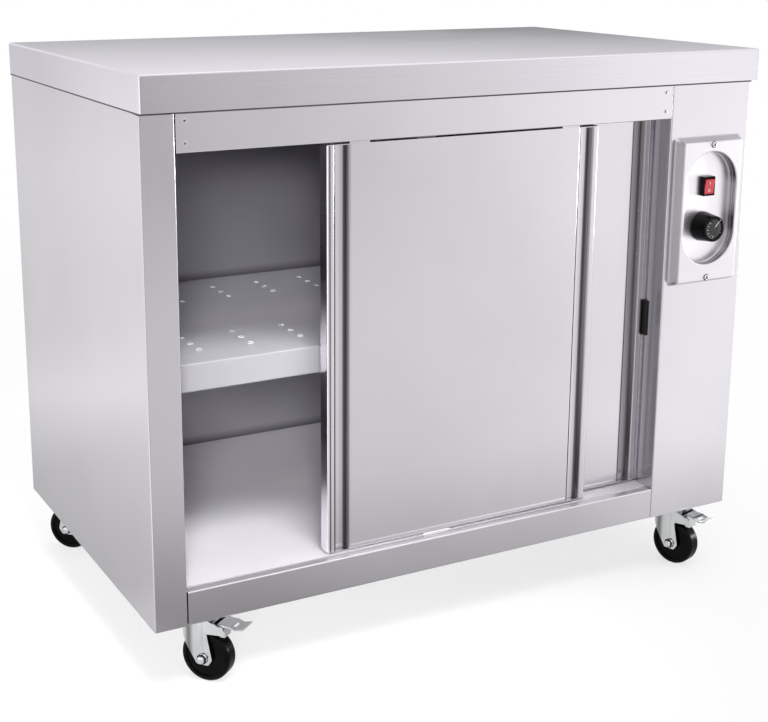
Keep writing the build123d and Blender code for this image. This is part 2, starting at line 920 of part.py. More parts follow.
block_x = partition_x + sheet
tail_x = block_x + element_tail
with BuildPart() as heating_element:
    with BuildLine(mode=Mode.PRIVATE) as hairpin:
        FilletPolyline(
            (tail_x, element_ys[0], element_level),
            (element_far_x, element_ys[0], element_level),
            (element_far_x, element_ys[1], element_level),
            (tail_x, element_ys[1], element_level),
            radius=element_bend,
        )
    with BuildSketch(Plane.YZ.offset(tail_x)):
        with Locations((element_ys[0], element_level)):
            Circle(element_radius)
    sweep(path=hairpin.line)
    for flange_y in element_ys:
        block(
            (block_x, flange_y - element_flange, element_level - element_flange / 2),
            (block_x + element_flange_sheet, flange_y + element_flange, element_level + element_flange / 2),
        )
save(heating_element, "heating_element")

with BuildPart() as terminal_block:
    block(
        (block_x, terminal_y, terminal_z),
        (block_x + terminal_depth, terminal_y + terminal_length, terminal_z + terminal_height),
    )
    fillet(terminal_block.edges().filter_by(Axis.X), terminal_corner)
    with BuildSketch(Plane.YZ.offset(block_x + terminal_depth)):
        with Locations((terminal_y + terminal_length / 2, terminal_z + terminal_height / 2)):
            with GridLocations(terminal_length / 4, terminal_height / 2, 3, 2):
                Circle(terminal_hole)
    extrude(amount=-terminal_hole_depth, mode=Mode.SUBTRACT)
save(terminal_block, "terminal_block")

with BuildPart() as cable_gland:
    with BuildSketch(Plane.XZ.offset(-rear_y)):
        with Locations((gland_x, gland_z)):
            RegularPolygon(gland_hex, 6)
    extrude(amount=-gland_proud / 2)
    with BuildSketch(Plane.XZ.offset(-rear_y - gland_proud / 2)):
        with Locations((gland_x, gland_z)):
            Circle(gland_thread + gland_dome_wall)
    extrude(amount=-gland_proud / 2)
    fillet(cable_gland.faces().sort_by(Axis.Y)[-1].edges(), gland_dome_round)
    with BuildSketch(Plane.XZ.offset(-rear_y)):
        with Locations((gland_x, gland_z)):
            Circle(gland_thread)
    extrude(amount=sheet)
    with BuildSketch(Plane.XZ.offset(-rear_y + sheet)):
        with Locations((gland_x, gland_z)):
            RegularPolygon(gland_nut, 6)
    extrude(amount=gland_nut_height)
    with BuildSketch(Plane.XZ.offset(-rear_y - gland_proud)):
        with Locations((gland_x, gland_z)):
            Circle(gland_bore)
    extrude(amount=gland_proud + sheet + gland_nut_height, mode=Mode.SUBTRACT)
save(cable_gland, "cable_gland")

wire_x = block_x + terminal_depth + wire_radius
wire_y = terminal_y + terminal_length / 2
wire_front = front_y + switch_body_depth
with BuildPart() as wiring_harness:
    with BuildLine(mode=Mode.PRIVATE) as wire_run:
        FilletPolyline(
            (tail_x, element_ys[1], element_level),
            (tail_x + 2 * bulb_radius, element_ys[1], element_level),
            (tail_x + 2 * bulb_radius, element_ys[1], element_level + wire_lift),
            (wire_x, wire_y, element_level + 2 * wire_lift),
            (wire_x, wire_y, switch_z),
            (wire_x, wire_front + wire_setback, switch_z),
            (switch_x, wire_front + wire_setback, switch_z),
            (switch_x, wire_front, switch_z),
            radius=wire_bend,
        )
    with BuildSketch(Plane.YZ.offset(tail_x)):
        with Locations((element_ys[1], element_level)):
            Circle(wire_radius)
    sweep(path=wire_run.line)
save(wiring_harness, "wiring_harness")

# casters: built about the swivel axis, then turned and set under each corner
pad_z = caster_height - pad_sheet
cheek = fork_gap / 2 + fork_sheet
crown_low = fork_crown_z - fork_sheet
with BuildPart() as caster_plate:
    with BuildSketch(Plane.XY.offset(fork_crown_z + track_gap)):
        Circle(raceway_radius)
    extrude(amount=pad_z - fork_crown_z - track_gap)
    fillet(caster_plate.faces().sort_by(Axis.Z)[0].edges(), raceway_round)
    with BuildSketch(Plane.XY.offset(crown_low - track_gap)):
        Circle(kingpin_radius)
    extrude(amount=pad_z - crown_low)
    with BuildSketch(Plane.XY.offset(crown_low - track_gap)):
        Circle(kingpin_head)
    extrude(amount=-kingpin_head_height)

with BuildPart() as fork:
    with BuildSketch(Plane.XY):
        with BuildLine():
            Line((fork_blank, -cheek), (fork_front, -cheek))
            RadiusArc((fork_front, -cheek), (fork_front, cheek), cheek)
            Line((fork_front, cheek), (fork_blank, cheek))
            Line((fork_blank, cheek), (fork_blank, -cheek))
        make_face()
    extrude(amount=fork_crown_z)
    with BuildSketch(Plane.XY):
        with Locations((fork_front, 0)):
            Circle(fork_gap / 2)
        with Locations((fork_front + fork_blank / 2, 0)):
            Rectangle(fork_blank, fork_gap)
    extrude(amount=crown_low, mode=Mode.SUBTRACT)
    with BuildSketch(Plane.XZ):
        with BuildLine():
            Polyline(
                (-fork_back, fork_crown_z),
                (-fork_back, fork_shoulder_z),
                (fork_front, fork_waist_z),
                (wheel_trail - fork_tip, wheel_radius - fork_tip),
                (wheel_trail + fork_tip, wheel_radius - fork_tip),
                (wheel_trail + fork_chin, wheel_radius),
                (wheel_trail + fork_throat, fork_shoulder_z),
                (pedal_pivot_x, pedal_pivot_z - fork_ear),
                (pedal_pivot_x + fork_ear, pedal_pivot_z),
                (pedal_pivot_x + fork_ear / 2, pedal_pivot_z + fork_ear / 2),
                (fork_crown_end, fork_crown_z),
                close=True,
            )
        make_face()
        fillet(vertices().group_by(Axis.Y)[0] + vertices().group_by(Axis.Y)[1], fork_round)
    extrude(amount=2 * cheek, both=True, mode=Mode.INTERSECT)
    with BuildSketch(Plane.XY.offset(fork_crown_z)):
        Circle(kingpin_radius + running_gap)
    extrude(amount=-2 * fork_sheet, mode=Mode.SUBTRACT)
    with BuildSketch(Plane.XZ):
        with Locations((wheel_trail, wheel_radius)):
            Circle(axle_radius + running_gap / 2)
        with Locations((pedal_pivot_x, pedal_pivot_z)):
            Circle(pedal_pin + running_gap)
    extrude(amount=fork_gap, both=True, mode=Mode.SUBTRACT)

with BuildPart() as axle:
    with BuildSketch(Plane.XZ):
        with Locations((wheel_trail, wheel_radius)):
            Circle(axle_radius)
    extrude(amount=cheek, both=True)
    for way in (1, -1):
        with BuildSketch(Plane.XZ.offset(way * cheek)):
            with Locations((wheel_trail, wheel_radius)):
                Circle(axle_washer)
        extrude(amount=way * axle_washer_width)
        with BuildSketch(Plane.XZ.offset(way * (cheek + axle_washer_width))):
            with Locations((wheel_trail, wheel_radius)):
                Circle(axle_end)
        extrude(amount=way * axle_end_width)

with BuildPart() as wheel:
    with BuildSketch(Plane.XZ.offset(-wheel_width / 2)):
        with Locations((wheel_trail, wheel_radius)):
            Circle(wheel_radius)
    extrude(amount=wheel_width)
    fillet(wheel.edges().filter_by(GeomType.CIRCLE), wheel_round)
    for way in (1, -1):
        with BuildSketch(Plane.XZ.offset(way * wheel_width / 2)):
            with Locations((wheel_trail, wheel_radius)):
                Circle(web_radius)
        extrude(amount=-way * web_depth, mode=Mode.SUBTRACT)
    with BuildSketch(Plane.XZ.offset(-hub_width / 2)):
        with Locations((wheel_trail, wheel_radius)):
            Circle(hub_radius)
    extrude(amount=hub_width)
    with BuildSketch(Plane.XZ.offset(-hub_width / 2)):
        with Locations((wheel_trail, wheel_radius)):
            Circle(axle_radius + running_gap)
    extrude(amount=hub_width, mode=Mode.SUBTRACT)

shoe_x = pedal_pivot_x - pedal_block / 2 + pedal_shoe / 2
with BuildPart() as brake_pedal:
    folded(
        [
            (pedal_pivot_x - pedal_tail, pedal_pivot_z + pedal_lift),
            (pedal_pivot_x + pedal_flat, pedal_pivot_z + pedal_lift),
            (pedal_pivot_x + pedal_dip_x, pedal_pivot_z + pedal_lift - pedal_dip),
            (pedal_pivot_x + pedal_reach, pedal_pivot_z + pedal_lift),
        ],
        Plane.XZ.offset(-pedal_width / 2),
        pedal_width,
        thickness=pedal_sheet,
        radius=pedal_bend,
    )
    with BuildSketch(Plane.XZ.offset(-pedal_width / 2)):
        with Locations((pedal_pivot_x, pedal_pivot_z + pedal_lift / 4)):
            Rectangle(pedal_block, 2 * pedal_lift - pedal_lift / 2)
    extrude(amount=pedal_width)
    with BuildSketch(Plane.XZ.offset(-pedal_shoe_width / 2)):
        with Locations((shoe_x, pedal_pivot_z - pedal_shoe_drop / 2)):
            Rectangle(pedal_shoe, pedal_shoe_drop)
    extrude(amount=pedal_shoe_width)
    with BuildSketch(Plane.XZ):
        with Locations((pedal_pivot_x, pedal_pivot_z)):
            Circle(pedal_pin)
    extrude(amount=cheek, both=True)
    with BuildSketch(Plane.XY.offset(pedal_pivot_z)):
        with Locations((pedal_pivot_x + pedal_slot_x, 0)):
            SlotOverall(pedal_slot_length, pedal_slot_width, rotation=90)
    extrude(amount=2 * pedal_lift, mode=Mode.SUBTRACT)

corners = {
    "front_left": (left_x + inset_left, front_y + inset_front, -52, True),
    "front_right": (right_x - inset_right, front_y + inset_front, -74, True),
    "rear_left": (left_x + inset_left, rear_y - inset_rear, 134, False),
    "rear_right": (right_x - inset_right, rear_y - inset_rear, 112, False),
}
for corner, (x, y, heading, braked) in corners.items():
    with BuildPart() as placed_plate:
        with Locations((x, y, 0)):
            add(caster_plate.part)
        with BuildSketch(Plane.XY.offset(pad_z)):
            with Locations((x, y)):
                RectangleRounded(pad_length, pad_width, pad_corner)
        extrude(amount=pad_sheet)
    save(placed_plate, f"caster_plate_{corner}")
    pieces = {"caster_fork": fork, "caster_axle": axle, "caster_wheel": wheel}
    if braked:
        pieces["brake_pedal"] = brake_pedal
    for kind, source in pieces.items():
        with BuildPart() as placed:
            with Locations(Location((x, y, 0), (0, 0, heading))):
                add(source.part)
        save(placed, f"{kind}_{corner}")
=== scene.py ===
import bpy
import bmesh
import json
import math
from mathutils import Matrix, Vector


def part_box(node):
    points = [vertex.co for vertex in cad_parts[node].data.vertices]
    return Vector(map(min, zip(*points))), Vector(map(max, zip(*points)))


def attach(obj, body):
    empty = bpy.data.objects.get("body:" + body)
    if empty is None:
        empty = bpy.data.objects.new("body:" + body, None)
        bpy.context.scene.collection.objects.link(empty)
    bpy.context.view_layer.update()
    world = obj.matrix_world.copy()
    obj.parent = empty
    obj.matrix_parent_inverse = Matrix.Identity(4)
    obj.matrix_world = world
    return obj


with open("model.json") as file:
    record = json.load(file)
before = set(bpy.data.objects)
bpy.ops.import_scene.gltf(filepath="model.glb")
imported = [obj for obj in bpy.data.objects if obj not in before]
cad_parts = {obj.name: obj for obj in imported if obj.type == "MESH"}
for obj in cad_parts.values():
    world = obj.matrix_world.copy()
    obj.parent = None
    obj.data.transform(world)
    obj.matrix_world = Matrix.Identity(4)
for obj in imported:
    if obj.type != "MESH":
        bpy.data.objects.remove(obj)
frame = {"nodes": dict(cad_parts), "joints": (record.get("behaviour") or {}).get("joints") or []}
nodes = frame["nodes"]
joints = {joint["name"]: joint for joint in frame["joints"]}
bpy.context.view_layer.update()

mm = 0.001


def corners(name):  # lowest and highest corner of a CAD node, in millimetres
    low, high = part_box(name)
    return low / mm, high / mm


def toLinear(hexText):  # sRGB hex to the linear colour a shader takes
    parts = [int(hexText[i:i + 2], 16) / 255 for i in (1, 3, 5)]
    return [c / 12.92 if c <= 0.04045 else ((c + 0.055) / 1.055) ** 2.4 for c in parts] + [1.0]


def addNode(tree, kind, inputs=(), stops=(), **settings):
    # inputs go by name or in order, each a socket to follow or a value; stops are a colour ramp's
    node = tree.nodes.new("ShaderNode" + kind)
    for key, value in settings.items():
        setattr(node, key, value)
    for key, value in inputs.items() if isinstance(inputs, dict) else enumerate(inputs):
        if isinstance(value, bpy.types.NodeSocket):
            tree.links.new(value, node.inputs[key])
        else:
            node.inputs[key].default_value = value
    for place, colour in stops[1:-1]:
        node.color_ramp.elements.new(place)
    for i, (place, colour) in enumerate(stops):
        node.color_ramp.elements[i].position = place
        node.color_ramp.elements[i].color = colour
    return node.outputs


def newMaterial(name):
    material = bpy.data.materials.new(name)
    material.use_nodes = True
    material.node_tree.nodes.clear()
    return material, material.node_tree


def levelAlong(tree, share, stops):  # light and dark by place; levels may pass 1, so the ramp holds half
    halves = [(place, (level / 2, level / 2, level / 2, 1)) for place, level in stops]
    ramp = addNode(tree, "ValToRGB", (share,), halves)[0]
    return addNode(tree, "Math", (ramp, 2.0), operation="MULTIPLY")[0]


def tintStops(look):  # from the dark colour to the pale one
    return list(zip(look["tintEdges"], (toLinear(look["dark"]), toLinear(look["pale"]))))


def roughRange(look):  # the pattern's edges, then the roughness that they stand for
    return (*look["roughEdges"], look["roughness"] - look["spread"], look["roughness"] + look["spread"])


# sheet steel: grain follows the rolling or the belt, soft clouds from handling, a faint bump;
# sizes are in millimetres, and the grain is drawn coarser than the belt's own lines so that it shows
steelLooks = {
    "grainAxis": "Z", "grainLength": 160, "grainWidth": 0.9, "grainNoise": {"Detail": 3.0, "Roughness": 0.6},
    "grainEdges": (0.25, 0.75), "streak": 0.02,
    "cloudSize": 260, "cloudNoise": {"Detail": 4.0, "Roughness": 0.55, "Distortion": 0.4},
    "tintEdges": (0.3, 0.7), "dark": "#c9c6cb", "pale": "#cfccd1", "edgeTint": "#ffffff",
    "roughness": 0.2, "spread": 0.03, "roughEdges": (0.6, 1.4), "bump": 0.06, "bumpDepth": 0.02,
    "anisotropy": 0.3, "metallic": 1.0, "ledgeMetallic": 1.0, "ledgeEdges": (0.3, 0.9), "shades": [],
}


def brushedSteel(name, **changes):
    look = {**steelLooks, **changes}
    material, tree = newMaterial(name)
    spot = addNode(tree, "TexCoord")
    stretch = [1 / (look["grainWidth"] * mm)] * 3
    stretch["XYZ".index(look["grainAxis"])] = 1 / (look["grainLength"] * mm)
    drawn = addNode(tree, "Mapping", {"Vector": spot["Object"], "Scale": stretch})[0]
    grain = addNode(tree, "TexNoise", {"Vector": drawn, "Scale": 1.0, **look["grainNoise"]})["Fac"]
    cloudScale = 1 / (look["cloudSize"] * mm)
    clouds = addNode(tree, "TexNoise",
                     {"Vector": spot["Object"], "Scale": cloudScale, **look["cloudNoise"]})["Fac"]
    tint = addNode(tree, "ValToRGB", (clouds,), tintStops(look))[0]
    streaks = (1 - look["streak"], 1 + look["streak"])
    level = addNode(tree, "MapRange", (grain, *look["grainEdges"], *streaks))[0]
    for shade in look["shades"]:  # painted light and shade, multiplied into the colour
        level = addNode(tree, "Math", (level, shade(tree, spot)), operation="MULTIPLY")[0]
    colour = addNode(tree, "VectorMath", {0: tint, "Scale": level}, operation="SCALE")[0]
    mixed = addNode(tree, "Math", (grain, clouds), operation="ADD")[0]
    rough = addNode(tree, "MapRange", (mixed, *roughRange(look)))[0]
    bump = addNode(tree, "Bump",
                   {"Strength": look["bump"], "Distance": look["bumpDepth"] * mm, "Height": grain})[0]
    upward = addNode(tree, "SeparateXYZ", (spot["Normal"],))["Z"]
    wornRange = (*look["ledgeEdges"], look["metallic"], look["ledgeMetallic"])
    worn = addNode(tree, "MapRange", (upward, *wornRange))[0]
    shader = addNode(tree, "BsdfPrincipled",
                     {"Base Color": colour, "Roughness": rough, "Metallic": worn, "Normal": bump,
                      "Anisotropic": look["anisotropy"], "Specular Tint": toLinear(look["edgeTint"])})[0]
    addNode(tree, "OutputMaterial", {"Surface": shader})
    return material


# moulded plastics and rubber: flat colour with slight mottle, orange-peel bump, gloss set by the mould
plasticLooks = {
    "peelSize": 0.8, "peelNoise": {"Detail": 2.0}, "mottleSize": 30, "mottleNoise": {"Detail": 3.0},
    "tintEdges": (0.35, 0.65), "roughness": 0.3, "spread": 0.05, "roughEdges": (0.3, 0.7),
    "bump": 0.1, "bumpDepth": 0.05, "ior": 1.5, "sheen": 0.5,
}


def mouldedPlastic(name, **changes):
    look = {**plasticLooks, **changes}
    material, tree = newMaterial(name)
    spot = addNode(tree, "TexCoord")["Object"]
    peelScale, mottleScale = 1 / (look["peelSize"] * mm), 1 / (look["mottleSize"] * mm)
    peel = addNode(tree, "TexNoise", {"Vector": spot, "Scale": peelScale, **look["peelNoise"]})["Fac"]
    mottle = addNode(tree, "TexNoise", {"Vector": spot, "Scale": mottleScale, **look["mottleNoise"]})["Fac"]
    tint = addNode(tree, "ValToRGB", (mottle,), tintStops(look))[0]
    rough = addNode(tree, "MapRange", (mottle, *roughRange(look)))[0]
    bump = addNode(tree, "Bump",
                   {"Strength": look["bump"], "Distance": look["bumpDepth"] * mm, "Height": peel})[0]
    shader = addNode(tree, "BsdfPrincipled",
                     {"Base Color": tint, "Roughness": rough, "Normal": bump, "IOR": look["ior"],
                      "Specular IOR Level": look["sheen"]})[0]
    addNode(tree, "OutputMaterial", {"Surface": shader})
    return material


# door skins: beside each grip channel the lip carries painted highlights and a painted dark line, the outer
# bend a stronger painted highlight
lip = {"width": 12.0, "bend": 2.6, "bendPaintedHighlight": 1.6, "bendEdges": (0.3, 0.6),
       "left": [(0, 1.5), (0.24, 1.4), (0.28, 0.18), (0.4, 0.18), (0.46, 0.9), (0.65, 1.05), (1, 1.1)],
       "right": [(0, 0.75), (0.3, 0.95), (0.7, 1.0), (0.85, 1.2), (1, 1.5)]}


def lipPaintedLight(node):
    low, high = corners(node)
    leftEnd, rightEnd = (low.x + lip["width"]) * mm, (high.x - lip["width"]) * mm

    def shade(tree, spot):
        x = addNode(tree, "SeparateXYZ", (spot["Object"],))["X"]
        onLeft = addNode(tree, "Math", (x, leftEnd), operation="LESS_THAN")[0]
        fromLeft = addNode(tree, "MapRange", (x, low.x * mm, leftEnd))[0]
        level = addNode(tree, "Mix", {0: onLeft, 2: 1.0, 3: levelAlong(tree, fromLeft, lip["left"])})[0]
        onRight = addNode(tree, "Math", (x, rightEnd), operation="GREATER_THAN")[0]
        fromRight = addNode(tree, "MapRange", (x, rightEnd, high.x * mm))[0]
        level = addNode(tree, "Mix", {0: onRight, 2: level, 3: levelAlong(tree, fromRight, lip["right"])})[0]
        # painted highlight on the outer bend
        onBend = addNode(tree, "Math", (x, (low.x + lip["bend"]) * mm), operation="LESS_THAN")[0]
        sideways = addNode(tree, "SeparateXYZ", (spot["Normal"],))["X"]
        sideways = addNode(tree, "Math", (sideways,), operation="ABSOLUTE")[0]
        turning = addNode(tree, "MapRange", (sideways, *lip["bendEdges"]))[0]
        bent = addNode(tree, "Math", (onBend, turning), operation="MULTIPLY")[0]
        return addNode(tree, "Mix", {0: bent, 2: level, 3: lip["bendPaintedHighlight"]})[0]

    return shade


# grip channels: painted shade, dark in lines down the right flank while the bottom stays bright
channel = {"width": 21.5, "depth": 8.0, "flank": 6.0, "round": 1.4, "blend": 0.3, "low": 0.4, "seat": 0.15,
           "back": 1.5,
           "across": [(0, 1.0), (0.28, 1.02), (0.4, 1.0), (0.5, 0.86), (0.6, 0.84), (0.68, 0.68),
                      (0.73, 0.58), (0.76, 0.28), (0.82, 0.14), (0.87, 0.13), (0.91, 0.21), (0.95, 0.15),
                      (1, 0.42)]}


def channelPaintedShade(tree, spot):
    # painted shade across the channel's width
    across = addNode(tree, "SeparateXYZ", (spot["Generated"],))["X"]
    return levelAlong(tree, across, channel["across"])


# caster forks: painted shade, a dark band down one side of each cheek
cheekShadeBand = {"reach": 34.0, "cheekEdges": (0.7, 0.9),
       "across": [(0, 0.95), (0.09, 0.85), (0.14, 0.42), (0.2, 0.3), (0.25, 0.6), (0.3, 0.95), (0.45, 1.0),
                  (0.5, 0.9), (0.55, 1.0), (1, 1.0)]}


def cheekPaintedShade(corner):
    spin = joints[f"wheel_spin_{corner}"]
    centre, axis = Vector(spin["pos_m"]), Vector(spin["axis"]).normalized()
    along = axis.cross(Vector((0, 0, 1)))

    def shade(tree, spot):
        fromAxle = addNode(tree, "VectorMath", (spot["Object"], centre), operation="SUBTRACT")[0]
        travel = addNode(tree, "VectorMath", (fromAxle, along), operation="DOT_PRODUCT")["Value"]
        outward = addNode(tree, "VectorMath", (spot["Normal"], axis), operation="DOT_PRODUCT")["Value"]
        outward = addNode(tree, "Math", (outward,), operation="ABSOLUTE")[0]
        onCheek = addNode(tree, "MapRange", (outward, *cheekShadeBand["cheekEdges"]))[0]
        # painted shade across the cheek
        share = addNode(tree, "MapRange", (travel, -cheekShadeBand["reach"] * mm, cheekShadeBand["reach"] * mm))[0]
        return addNode(tree, "Mix", {0: onCheek, 2: 1.0, 3: levelAlong(tree, share, cheekShadeBand["across"])})[0]

    return shade


# chamber liner: painted shade, a dark line where the wall meets floor or shelf, and darker low in each
# compartment
cornerShade = {"height": 16.0, "dark": 0.35, "fade": 170.0, "lower": 0.84, "upper": 1.1}


def cornerPaintedShade(tree, spot):
    z = addNode(tree, "SeparateXYZ", (spot["Object"],))["Z"]
    level = 1.0
    for sheet in ("chamber_floor", "shelf"):
        foot = corners(sheet)[1].z
        lineTop, fadeTop = (foot + cornerShade["height"]) * mm, (foot + cornerShade["fade"]) * mm
        # painted shade along the foot of the wall
        line = addNode(tree, "MapRange", (z, foot * mm, lineTop, cornerShade["dark"], 1.0))[0]
        fade = addNode(tree, "MapRange", (z, foot * mm, fadeTop, cornerShade["lower"], cornerShade["upper"]))[0]
        above = addNode(tree, "Math", (line, fade), operation="MULTIPLY")[0]
        under = addNode(tree, "Math", (z, foot * mm), operation="LESS_THAN")[0]
        level = addNode(tree, "Mix", {0: under, 2: above, 3: level})[0]
    return level


# shelf: painted light and shade, its top darker at the front and lighter towards the back, the front darker
# towards the left end, and its lip darkened
shelfShade = {"top": [(0, 0.8), (0.2, 1.0), (0.45, 1.3), (1, 1.35)], "lip": 0.46, "lipEdges": (-0.5, -0.8),
        "front": 0.25, "reach": 220.0, "left": 0.84, "right": 1.22}


def shelfPaintedShade(tree, spot):
    low, high = corners("shelf")
    place = addNode(tree, "SeparateXYZ", (spot["Object"],))
    deep = addNode(tree, "MapRange", (place["Y"], low.y * mm, high.y * mm))[0]
    reach = (low.x * mm, (low.x + shelfShade["reach"]) * mm)
    along = addNode(tree, "MapRange", (place["X"], *reach, shelfShade["left"], shelfShade["right"]))[0]
    past = addNode(tree, "MapRange", (deep, 0.0, shelfShade["front"]))[0]
    nearLip = addNode(tree, "Mix", {0: past, 2: along, 3: 1.0})[0]
    top = addNode(tree, "Math", (levelAlong(tree, deep, shelfShade["top"]), nearLip), operation="MULTIPLY")[0]
    face = addNode(tree, "Math", (along, shelfShade["lip"]), operation="MULTIPLY")[0]
    frontward = addNode(tree, "SeparateXYZ", (spot["Normal"],))["Y"]
    onLip = addNode(tree, "MapRange", (frontward, *shelfShade["lipEdges"]))[0]
    return addNode(tree, "Mix", {0: onLip, 2: top, 3: face})[0]


# worktop: painted light on its folded edges, the left one most
edges = {"front": 1.03, "left": 1.35, "uprightEdges": (0.3, 0.6), "leftEdges": (-0.5, -0.8)}


def edgePaintedLight(tree, spot):
    normal = addNode(tree, "SeparateXYZ", (spot["Normal"],))
    upright = addNode(tree, "MapRange", (normal["Z"], *edges["uprightEdges"], edges["front"], 1.0))[0]
    onLeft = addNode(tree, "MapRange", (normal["X"], *edges["leftEdges"]))[0]
    return addNode(tree, "Mix", {0: onLeft, 2: upright, 3: edges["left"]})[0]


# control plate: painted shade on the left and top bevels, painted dark and pale rings on the cup wall in
# place of its reflections, and painted light on the cup floor
plateShading = {"leftBevel": 0.58, "leftEdges": (-0.6, -0.8), "topBevel": 0.78, "topEdges": (0.6, 0.8),
            "bevelFrom": (0.3, 0.37), "bevelTo": (0.5, 0.7), "wallDepth": 16.0, "wallEdges": (0.12, 0.3),
            "floorShare": 0.8, "floorPaintedLight": 1.22, "cupInset": 27.5,
            "paleness": [(0, 0.1), (0.08, 0.2), (0.13, 0.9), (0.27, 0.9), (0.33, 0.15), (0.42, 0.15),
                         (0.48, 0.8), (0.72, 0.8), (0.8, 0), (1, 0)],
            "darkRings": [(0, 1.2), (0.08, 0.16), (0.18, 0.07), (0.42, 0.08), (0.5, 0.6), (0.6, 0.16),
                          (0.76, 0.16), (0.86, 0.65), (1, 1.0)],
            "paleRings": [(0, 1.3), (0.1, 0.33), (0.22, 1.1), (0.36, 0.4), (0.5, 1.15), (0.62, 0.4),
                          (0.75, 0.95), (1, 1.1)]}


def platePaintedShade(tree, spot):
    low, high = corners("control_plate")
    place = addNode(tree, "SeparateXYZ", (spot["Object"],))
    normal = addNode(tree, "SeparateXYZ", (spot["Normal"],))
    facing = addNode(tree, "Math", (normal["Y"],), operation="ABSOLUTE")[0]
    edgeOn = addNode(tree, "MapRange", (facing, *plateShading["wallEdges"], 1.0, 0.0))[0]
    depth = addNode(tree, "MapRange", (place["Y"], low.y * mm, (low.y + plateShading["wallDepth"]) * mm))[0]
    cup = ((low.z + plateShading["cupInset"]) * mm, (high.z - plateShading["cupInset"]) * mm)
    upCup = addNode(tree, "MapRange", (place["Z"], *cup))[0]
    rings = addNode(tree, "Mix", {0: levelAlong(tree, upCup, plateShading["paleness"]),
                                  2: levelAlong(tree, depth, plateShading["darkRings"]),
                                  3: levelAlong(tree, depth, plateShading["paleRings"])})[0]
    inCup = addNode(tree, "Math", (depth, plateShading["floorShare"]), operation="GREATER_THAN")[0]
    flat = addNode(tree, "Mix", {0: inCup, 2: 1.0, 3: plateShading["floorPaintedLight"]})[0]
    level = addNode(tree, "Mix", {0: edgeOn, 2: flat, 3: rings})[0]
    slanted = addNode(tree, "MapRange", (facing, *plateShading["bevelFrom"]))[0]
    notFlat = addNode(tree, "MapRange", (facing, *plateShading["bevelTo"], 1.0, 0.0))[0]
    bevel = addNode(tree, "Math", (slanted, notFlat), operation="MULTIPLY")[0]
    # painted shade on the left and top bevels
    for axis, side in (("X", "left"), ("Z", "top")):
        toward = addNode(tree, "MapRange", (normal[axis], *plateShading[side + "Edges"]))[0]
        onBevel = addNode(tree, "Math", (bevel, toward), operation="MULTIPLY")[0]
        gloss = addNode(tree, "Mix", {0: onBevel, 2: 1.0, 3: plateShading[side + "Bevel"]})[0]
        level = addNode(tree, "Math", (level, gloss), operation="MULTIPLY")[0]
    return level


# stainless 2B sheet, cold rolled then belt-ground: soft grey, nearly no mirror, a grain seen only close up
frontDoorSteel = brushedSteel("stainlessFrontDoorSheet", shades=[lipPaintedLight("front_door_skin")])
rearDoorSteel = brushedSteel("stainlessRearDoorSheet", shades=[lipPaintedLight("rear_door_skin")])
channelSteel = brushedSteel("stainlessGripChannel", roughness=0.14, shades=[channelPaintedShade])
panSteel = brushedSteel("stainlessDoorBackSheet")
frameSteel = brushedSteel("stainlessFrameSheet", dark="#c6c3c8", pale="#ccc9ce")
sideSteel = brushedSteel("stainlessSideSheet")
topSteel = brushedSteel("stainlessTopSheet", grainAxis="X", dark="#c3c0c6", pale="#c9c6cc", roughness=0.1,
                        spread=0.02, streak=0.035, edgeTint="#eceaf0", shades=[edgePaintedLight])
railSteel = brushedSteel("stainlessRailSheet", grainAxis="X", dark="#ccc9ce", pale="#d2cfd4")
# ledges that hands and plates rub: upper faces greyer and duller than the rest of the sheet
sillSteel = brushedSteel("stainlessSillSheet", grainAxis="X", dark="#c6c3c8", pale="#ccc9ce",
                         ledgeMetallic=0.6)
linerSteel = brushedSteel("stainlessLinerSheet", grainAxis="X", dark="#a29fa8", pale="#adaab3",
                          roughness=0.36, metallic=0.6, ledgeMetallic=0.6, shades=[cornerPaintedShade])
floorSteel = brushedSteel("stainlessChamberFloor", grainAxis="X", dark="#cfccd2", pale="#dad7dd",
                          roughness=0.34, ledgeMetallic=0.18)
shelfSteel = brushedSteel("stainlessShelfSheet", grainAxis="X", dark="#c6c4cb", pale="#d0ced4",
                          roughness=0.38, metallic=0.25, ledgeMetallic=0.3, shades=[shelfPaintedShade])
# bright annealed stainless, pressed: whiter than the ground sheet round it, with a softer sheen
plateSteel = brushedSteel("stainlessBrightPressing", dark="#cecbd0", pale="#d4d1d6", roughness=0.32,
                          cloudSize=90, bump=0.05, shades=[platePaintedShade])
# raised rims of pierced holes, bright where the punch left them
punchedSteel = brushedSteel("stainlessPunchedRim", grainLength=4, grainWidth=1, cloudSize=9, dark="#f0eff2",
                            pale="#fafafb", metallic=0.15, ledgeMetallic=0.15)
# turned bar: fine rings from the tool, even grey
spindleSteel = brushedSteel("turnedSteelSpindle", grainLength=4, grainWidth=0.6, cloudSize=9, roughness=0.28)
# chromed steel: fasteners, the brightest and smoothest metal on the cabinet
chromeSteel = brushedSteel("chromedFastener", grainLength=6, grainWidth=2, cloudSize=12, dark="#dcdde0",
                           pale="#eeeff1", roughness=0.14, bump=0.04, anisotropy=0.0)
# bright zinc plating on pressed steel: pale, faintly blue, uneven gloss
zincLooks = {"grainLength": 30, "grainWidth": 5, "cloudSize": 30, "dark": "#dfe2e3", "pale": "#eef0f1",
             "spread": 0.05, "bump": 0.03, "streak": 0.01, "anisotropy": 0.0}
zincPlate = brushedSteel("zincPlatedPressing", **zincLooks)
# heater sheath: heat-darkened straw and brown
sheathSteel = brushedSteel("heatDarkenedSheath", cloudSize=40, dark="#6b6058", pale="#8c7f6f",
                           roughness=0.42, anisotropy=0.0)
# drawn copper capillary: warm, lightly dulled
copperTube = brushedSteel("drawnCopperTube", cloudSize=20, dark="#b06a44", pale="#c98763", roughness=0.3,
                          anisotropy=0.0)

